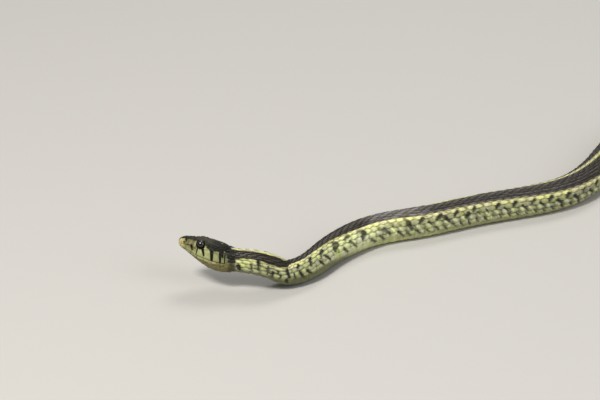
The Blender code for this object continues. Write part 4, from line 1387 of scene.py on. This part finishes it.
def coat(name, span, spots, overlap, tones, shape, paint):
    """A piece of the coat: flat plates laid out by s and millimetres of girth, bent onto the skin, painted
    and mapped."""
    s, turn, half = np.array(spots).T
    gap = table_at(SPACING, s)
    width = half / 360 * girth_at(s)
    attributes = {
        "size": np.stack([gap, width, thinning(s, THINNEST_SCALE)], axis=1),
        "root_s": s,
        "root_turn": turn,
        "tone": CHANCE.uniform(-1, 1, len(s)) * tones,
        "long": gap * overlap[0],
        "wide": width * overlap[1],
    }
    obj = scatter(name, [(at, 0.0, 0.0) for at in s], attributes, overlap, shape)
    mesh = obj.data
    flat = np.zeros(len(mesh.vertices) * 3, np.float32)
    mesh.vertices.foreach_get("co", flat)
    s, y, z = flat.reshape(-1, 3).astype(float).T
    root_s, root_turn, tone, long, wide = [read_attribute(mesh, key) for key in list(attributes)[1:]]
    for key in attributes:
        if key in mesh.attributes:
            mesh.attributes.remove(mesh.attributes[key])
    along = (s - root_s) / long
    across = y / wide
    pattern = root_turn - y / girth_at(s) * 360.0
    points = place(on_skin(s, pattern + twist_at(s), z))
    points[:, 2] = np.maximum(points[:, 2], 0.0)
    mesh.vertices.foreach_set("co", points.astype(np.float32).ravel())
    colours = paint(s, pattern, root_s, root_turn, along, across)
    paint_mesh(mesh, np.clip(colours * (1 + tone[:, None] * TONE_TINT), 0, 1))
    low = span[0] - MAP_REACH
    high = span[1] + MAP_REACH
    u = MAP_MARGIN + (1 - 2 * MAP_MARGIN) * (root_s - low) / (high - low) + (along - 0.5) * 2 * MAP_PATCH
    v = MAP_MARGIN + (1 - 2 * MAP_MARGIN) * np.mod(root_turn + 90, 360) / 360 + across * MAP_PATCH
    loops = np.zeros(len(mesh.loops), np.int32)
    mesh.loops.foreach_get("vertex_index", loops)
    layer = mesh.uv_layers.new(name="OFBake")
    layer.data.foreach_set("uv", np.stack([u, v], axis=1)[loops].astype(np.float32).ravel())
    outward(mesh)
    return obj


def whole_coat():
    """Every piece of the coat, made from three shapes of plate."""
    keeled = template("keeled_scale", SCALE_GRID, scale_outline, keeled_height, SCALE_THICKNESS)
    broad = template("belly_plate", BELLY_GRID, lambda v: 1.0, belly_height, PLATE_THICKNESS)
    paired = template("tail_plate", TAIL_GRID, lambda v: 1.0, belly_height, PLATE_THICKNESS)
    pieces = []
    for name, start, end in BACK_PIECES:
        spots = scale_spots(start, end)
        pieces.append(coat(name, (start, end), spots, BACK_OVERLAP, BACK_TONE, keeled, scale_paint))
    for name, start, end, spots, overlap, shape in (
        ("belly_plates", BELLY_START, VENT, belly_spots(), BELLY_OVERLAP, broad),
        ("tail_plates", VENT, TAIL_TIP, tail_spots(), TAIL_OVERLAP, paired),
    ):
        pieces.append(coat(name, (start, end), spots, overlap, BELLY_TONE, shape, plate_paint))
    for shape in (keeled, broad, paired):
        bpy.data.objects.remove(shape)
    return pieces


# Materials.
def plain_material(name, settings):
    material = bpy.data.materials.new(name)
    material.use_nodes = True
    shader = material.node_tree.nodes["Principled BSDF"]
    for key, value in settings.items():
        shader.inputs[key].default_value = value
    return material, shader


def noise_in(tree, scale, detail):
    """Noise that lies still in the object."""
    where = add_node(tree, "ShaderNodeTexCoord", {}).outputs["Object"]
    inputs = {"Vector": where, "Scale": scale, "Detail": detail}
    return add_node(tree, "ShaderNodeTexNoise", inputs).outputs["Fac"]


def finish_group():
    """Shader group: gives the markings small grain, and returns colour, roughness and height."""
    tree = bpy.data.node_groups.new("scale_finish", "ShaderNodeTree")
    add_sockets(tree, "INPUT", {"Colour": "Color", "Grain": "Float", "Shine": "Float"})
    add_sockets(tree, "OUTPUT", {"Colour": "Color", "Roughness": "Float", "Height": "Float"})
    given = add_node(tree, "NodeGroupInput", {}).outputs
    noise = noise_in(tree, GRAIN_SCALE, GRAIN_DETAIL)
    ends = zip(("From Min", "From Max", "To Min", "To Max"), GRAIN_FROM + GRAIN_TO)
    level = add_node(tree, "ShaderNodeMapRange", {"Value": noise, **dict(ends)}).outputs["Result"]
    share = {"Factor": given["Grain"], "A": 1.0, "B": level}
    strength = add_node(tree, "ShaderNodeMix", share, data_type="FLOAT").outputs["Result"]
    tint = add_node(tree, "ShaderNodeVectorMath", {0: given["Colour"], "Scale": strength}, operation="SCALE")
    terms = {0: noise, 1: ROUGHNESS_SPREAD, 2: given["Shine"]}
    rough = add_node(tree, "ShaderNodeMath", terms, operation="MULTIPLY_ADD").outputs["Value"]
    fine = noise_in(tree, FINE_SCALE, FINE_DETAIL)
    results = {"Colour": tint.outputs["Vector"], "Roughness": rough, "Height": fine}
    add_node(tree, "NodeGroupOutput", results)
    return tree


def marked_material(name, group, finish):
    """The markings with the group's grain, roughness and bump."""
    grain, shine, bump, specular = finish
    material, shader = plain_material(name, {"Specular IOR Level": specular})
    tree = material.node_tree
    marks = add_node(tree, "ShaderNodeAttribute", {}, attribute_name="markings").outputs["Color"]
    grained = add_node(tree, "ShaderNodeGroup", {}, node_tree=group)
    grained.inputs["Grain"].default_value = grain
    grained.inputs["Shine"].default_value = shine
    tree.links.new(marks, grained.inputs["Colour"])
    relief = {"Strength": bump, "Distance": BUMP_DISTANCE, "Height": grained.outputs["Height"]}
    normal = add_node(tree, "ShaderNodeBump", relief).outputs["Normal"]
    tree.links.new(grained.outputs["Colour"], shader.inputs["Base Color"])
    tree.links.new(grained.outputs["Roughness"], shader.inputs["Roughness"])
    tree.links.new(normal, shader.inputs["Normal"])
    return material


def eye_material():
    """Pupil, ring and iris by the attribute gaze, under a clear wet cover."""
    cover = {"Coat Weight": 1.0, "Coat IOR": CORNEA_IOR, "Coat Roughness": CORNEA_ROUGHNESS}
    ball = {"Roughness": EYE_ROUGHNESS, "Specular IOR Level": EYE_SPECULAR}
    material, shader = plain_material("eye", {**ball, **cover})
    tree = material.node_tree
    gaze = add_node(tree, "ShaderNodeAttribute", {}, attribute_name="gaze").outputs["Fac"]
    noise = noise_in(tree, EYE_GRAIN_SCALE, EYE_GRAIN_DETAIL)
    shift = add_node(tree, "ShaderNodeMath", {0: noise, 1: EYE_GRAIN, 2: gaze}, operation="MULTIPLY_ADD")
    ramp = add_node(tree, "ShaderNodeValToRGB", {"Fac": shift.outputs["Value"]})
    stops = ramp.color_ramp.elements
    for k, (at, tint) in enumerate(EYE_STOPS):
        stop = stops[k] if k < 2 else stops.new(at)
        stop.position = at
        stop.color = (*tint, 1)
    tree.links.new(ramp.outputs["Color"], shader.inputs["Base Color"])
    return material


def eye(name, side, material):
    """A ball whose pole faces out of the head, a little forward."""
    bm = bmesh.new()
    bmesh.ops.create_uvsphere(bm, u_segments=EYE_ACROSS, v_segments=EYE_DOWN, radius=1.0)
    mesh = bpy.data.meshes.new(name)
    bm.to_mesh(mesh)
    bm.free()
    ball = np.array([vertex.co[:] for vertex in mesh.vertices])
    store(mesh, "gaze", "FLOAT", np.degrees(np.arccos(np.clip(ball[:, 2] * side, -1, 1))) / 90.0)
    forth, out, up = (ball[:, [0, 2, 1]] * EYE_RADII).T
    turn = math.radians(EYE_TURN_DEG) * side
    s = forth * math.cos(turn) - out * math.sin(turn) - EYE_AT[0]
    y = forth * math.sin(turn) + out * math.cos(turn) + side * EYE_AT[1]
    points = place(np.stack([s, y, up + EYE_AT[2]], axis=1))
    mesh.vertices.foreach_set("co", points.astype(np.float32).ravel())
    mesh.materials.append(material)
    outward(mesh)
    return new_object(name, mesh)


# The making.
SCATTER_TREE = scatter_tree()
FINISH = finish_group()
SCALE_MATERIAL = marked_material("snake_scales", FINISH, SCALE_FINISH)

skin_shape = skin_mesh()
skin_shape.materials.append(marked_material("snake_skin", FINISH, SKIN_FINISH))
outward(skin_shape)
skin = new_object("skin", skin_shape)
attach(skin, "root")
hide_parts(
    "head", "lower_jaw", "neck", "body_1", "body_2", "body_3", "body_4", "body_5", "tail_1", "tail_2"
)

for piece in whole_coat():
    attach(piece, "root")

eye_finish = eye_material()
for name, side in (("eye_left", 1), ("eye_right", -1)):
    piece = eye(name + "_ball", side, eye_finish)
    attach(piece, "root")
    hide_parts(name)


# Floor, light and camera.
def aimed(obj, at, aim):
    obj.location = at
    obj.rotation_euler = (Vector(aim) - Vector(at)).to_track_quat("-Z", "Y").to_euler()
    return obj


half_side = FLOOR_SIDE / 2
corners = [(x * half_side, y * half_side, 0) for x, y in ((-1, -1), (1, -1), (1, 1), (-1, 1))]
floor_mesh = bpy.data.meshes.new("floor")
floor_mesh.from_pydata(corners, [], [(0, 1, 2, 3)])
floor_finish = {"Base Color": FLOOR_TINT, "Roughness": FLOOR_ROUGHNESS}
floor_mesh.materials.append(plain_material("floor", floor_finish)[0])
floor = new_object("floor", floor_mesh)

for name, (at, aim, size, watts, tint) in LAMPS.items():
    light = bpy.data.lights.new(name, "AREA")
    light.shape = "DISK"
    light.size = size
    light.energy = watts
    light.color = tint
    aimed(new_object(name, light), at, aim)

camera_data = bpy.data.cameras.new("camera")
camera_data.lens = LENS
camera_data.sensor_width = SENSOR_WIDTH
camera_data.clip_start = CLIP_START
bpy.context.scene.camera = aimed(new_object("camera", camera_data), CAMERA_AT, CAMERA_AIM)

world = bpy.data.worlds.new("studio")
world.use_nodes = True
world.node_tree.nodes["Background"].inputs["Color"].default_value = SKY_TINT
world.node_tree.nodes["Background"].inputs["Strength"].default_value = SKY_STRENGTH
bpy.context.scene.world = world
bpy.context.scene.view_settings.view_transform = "Standard"
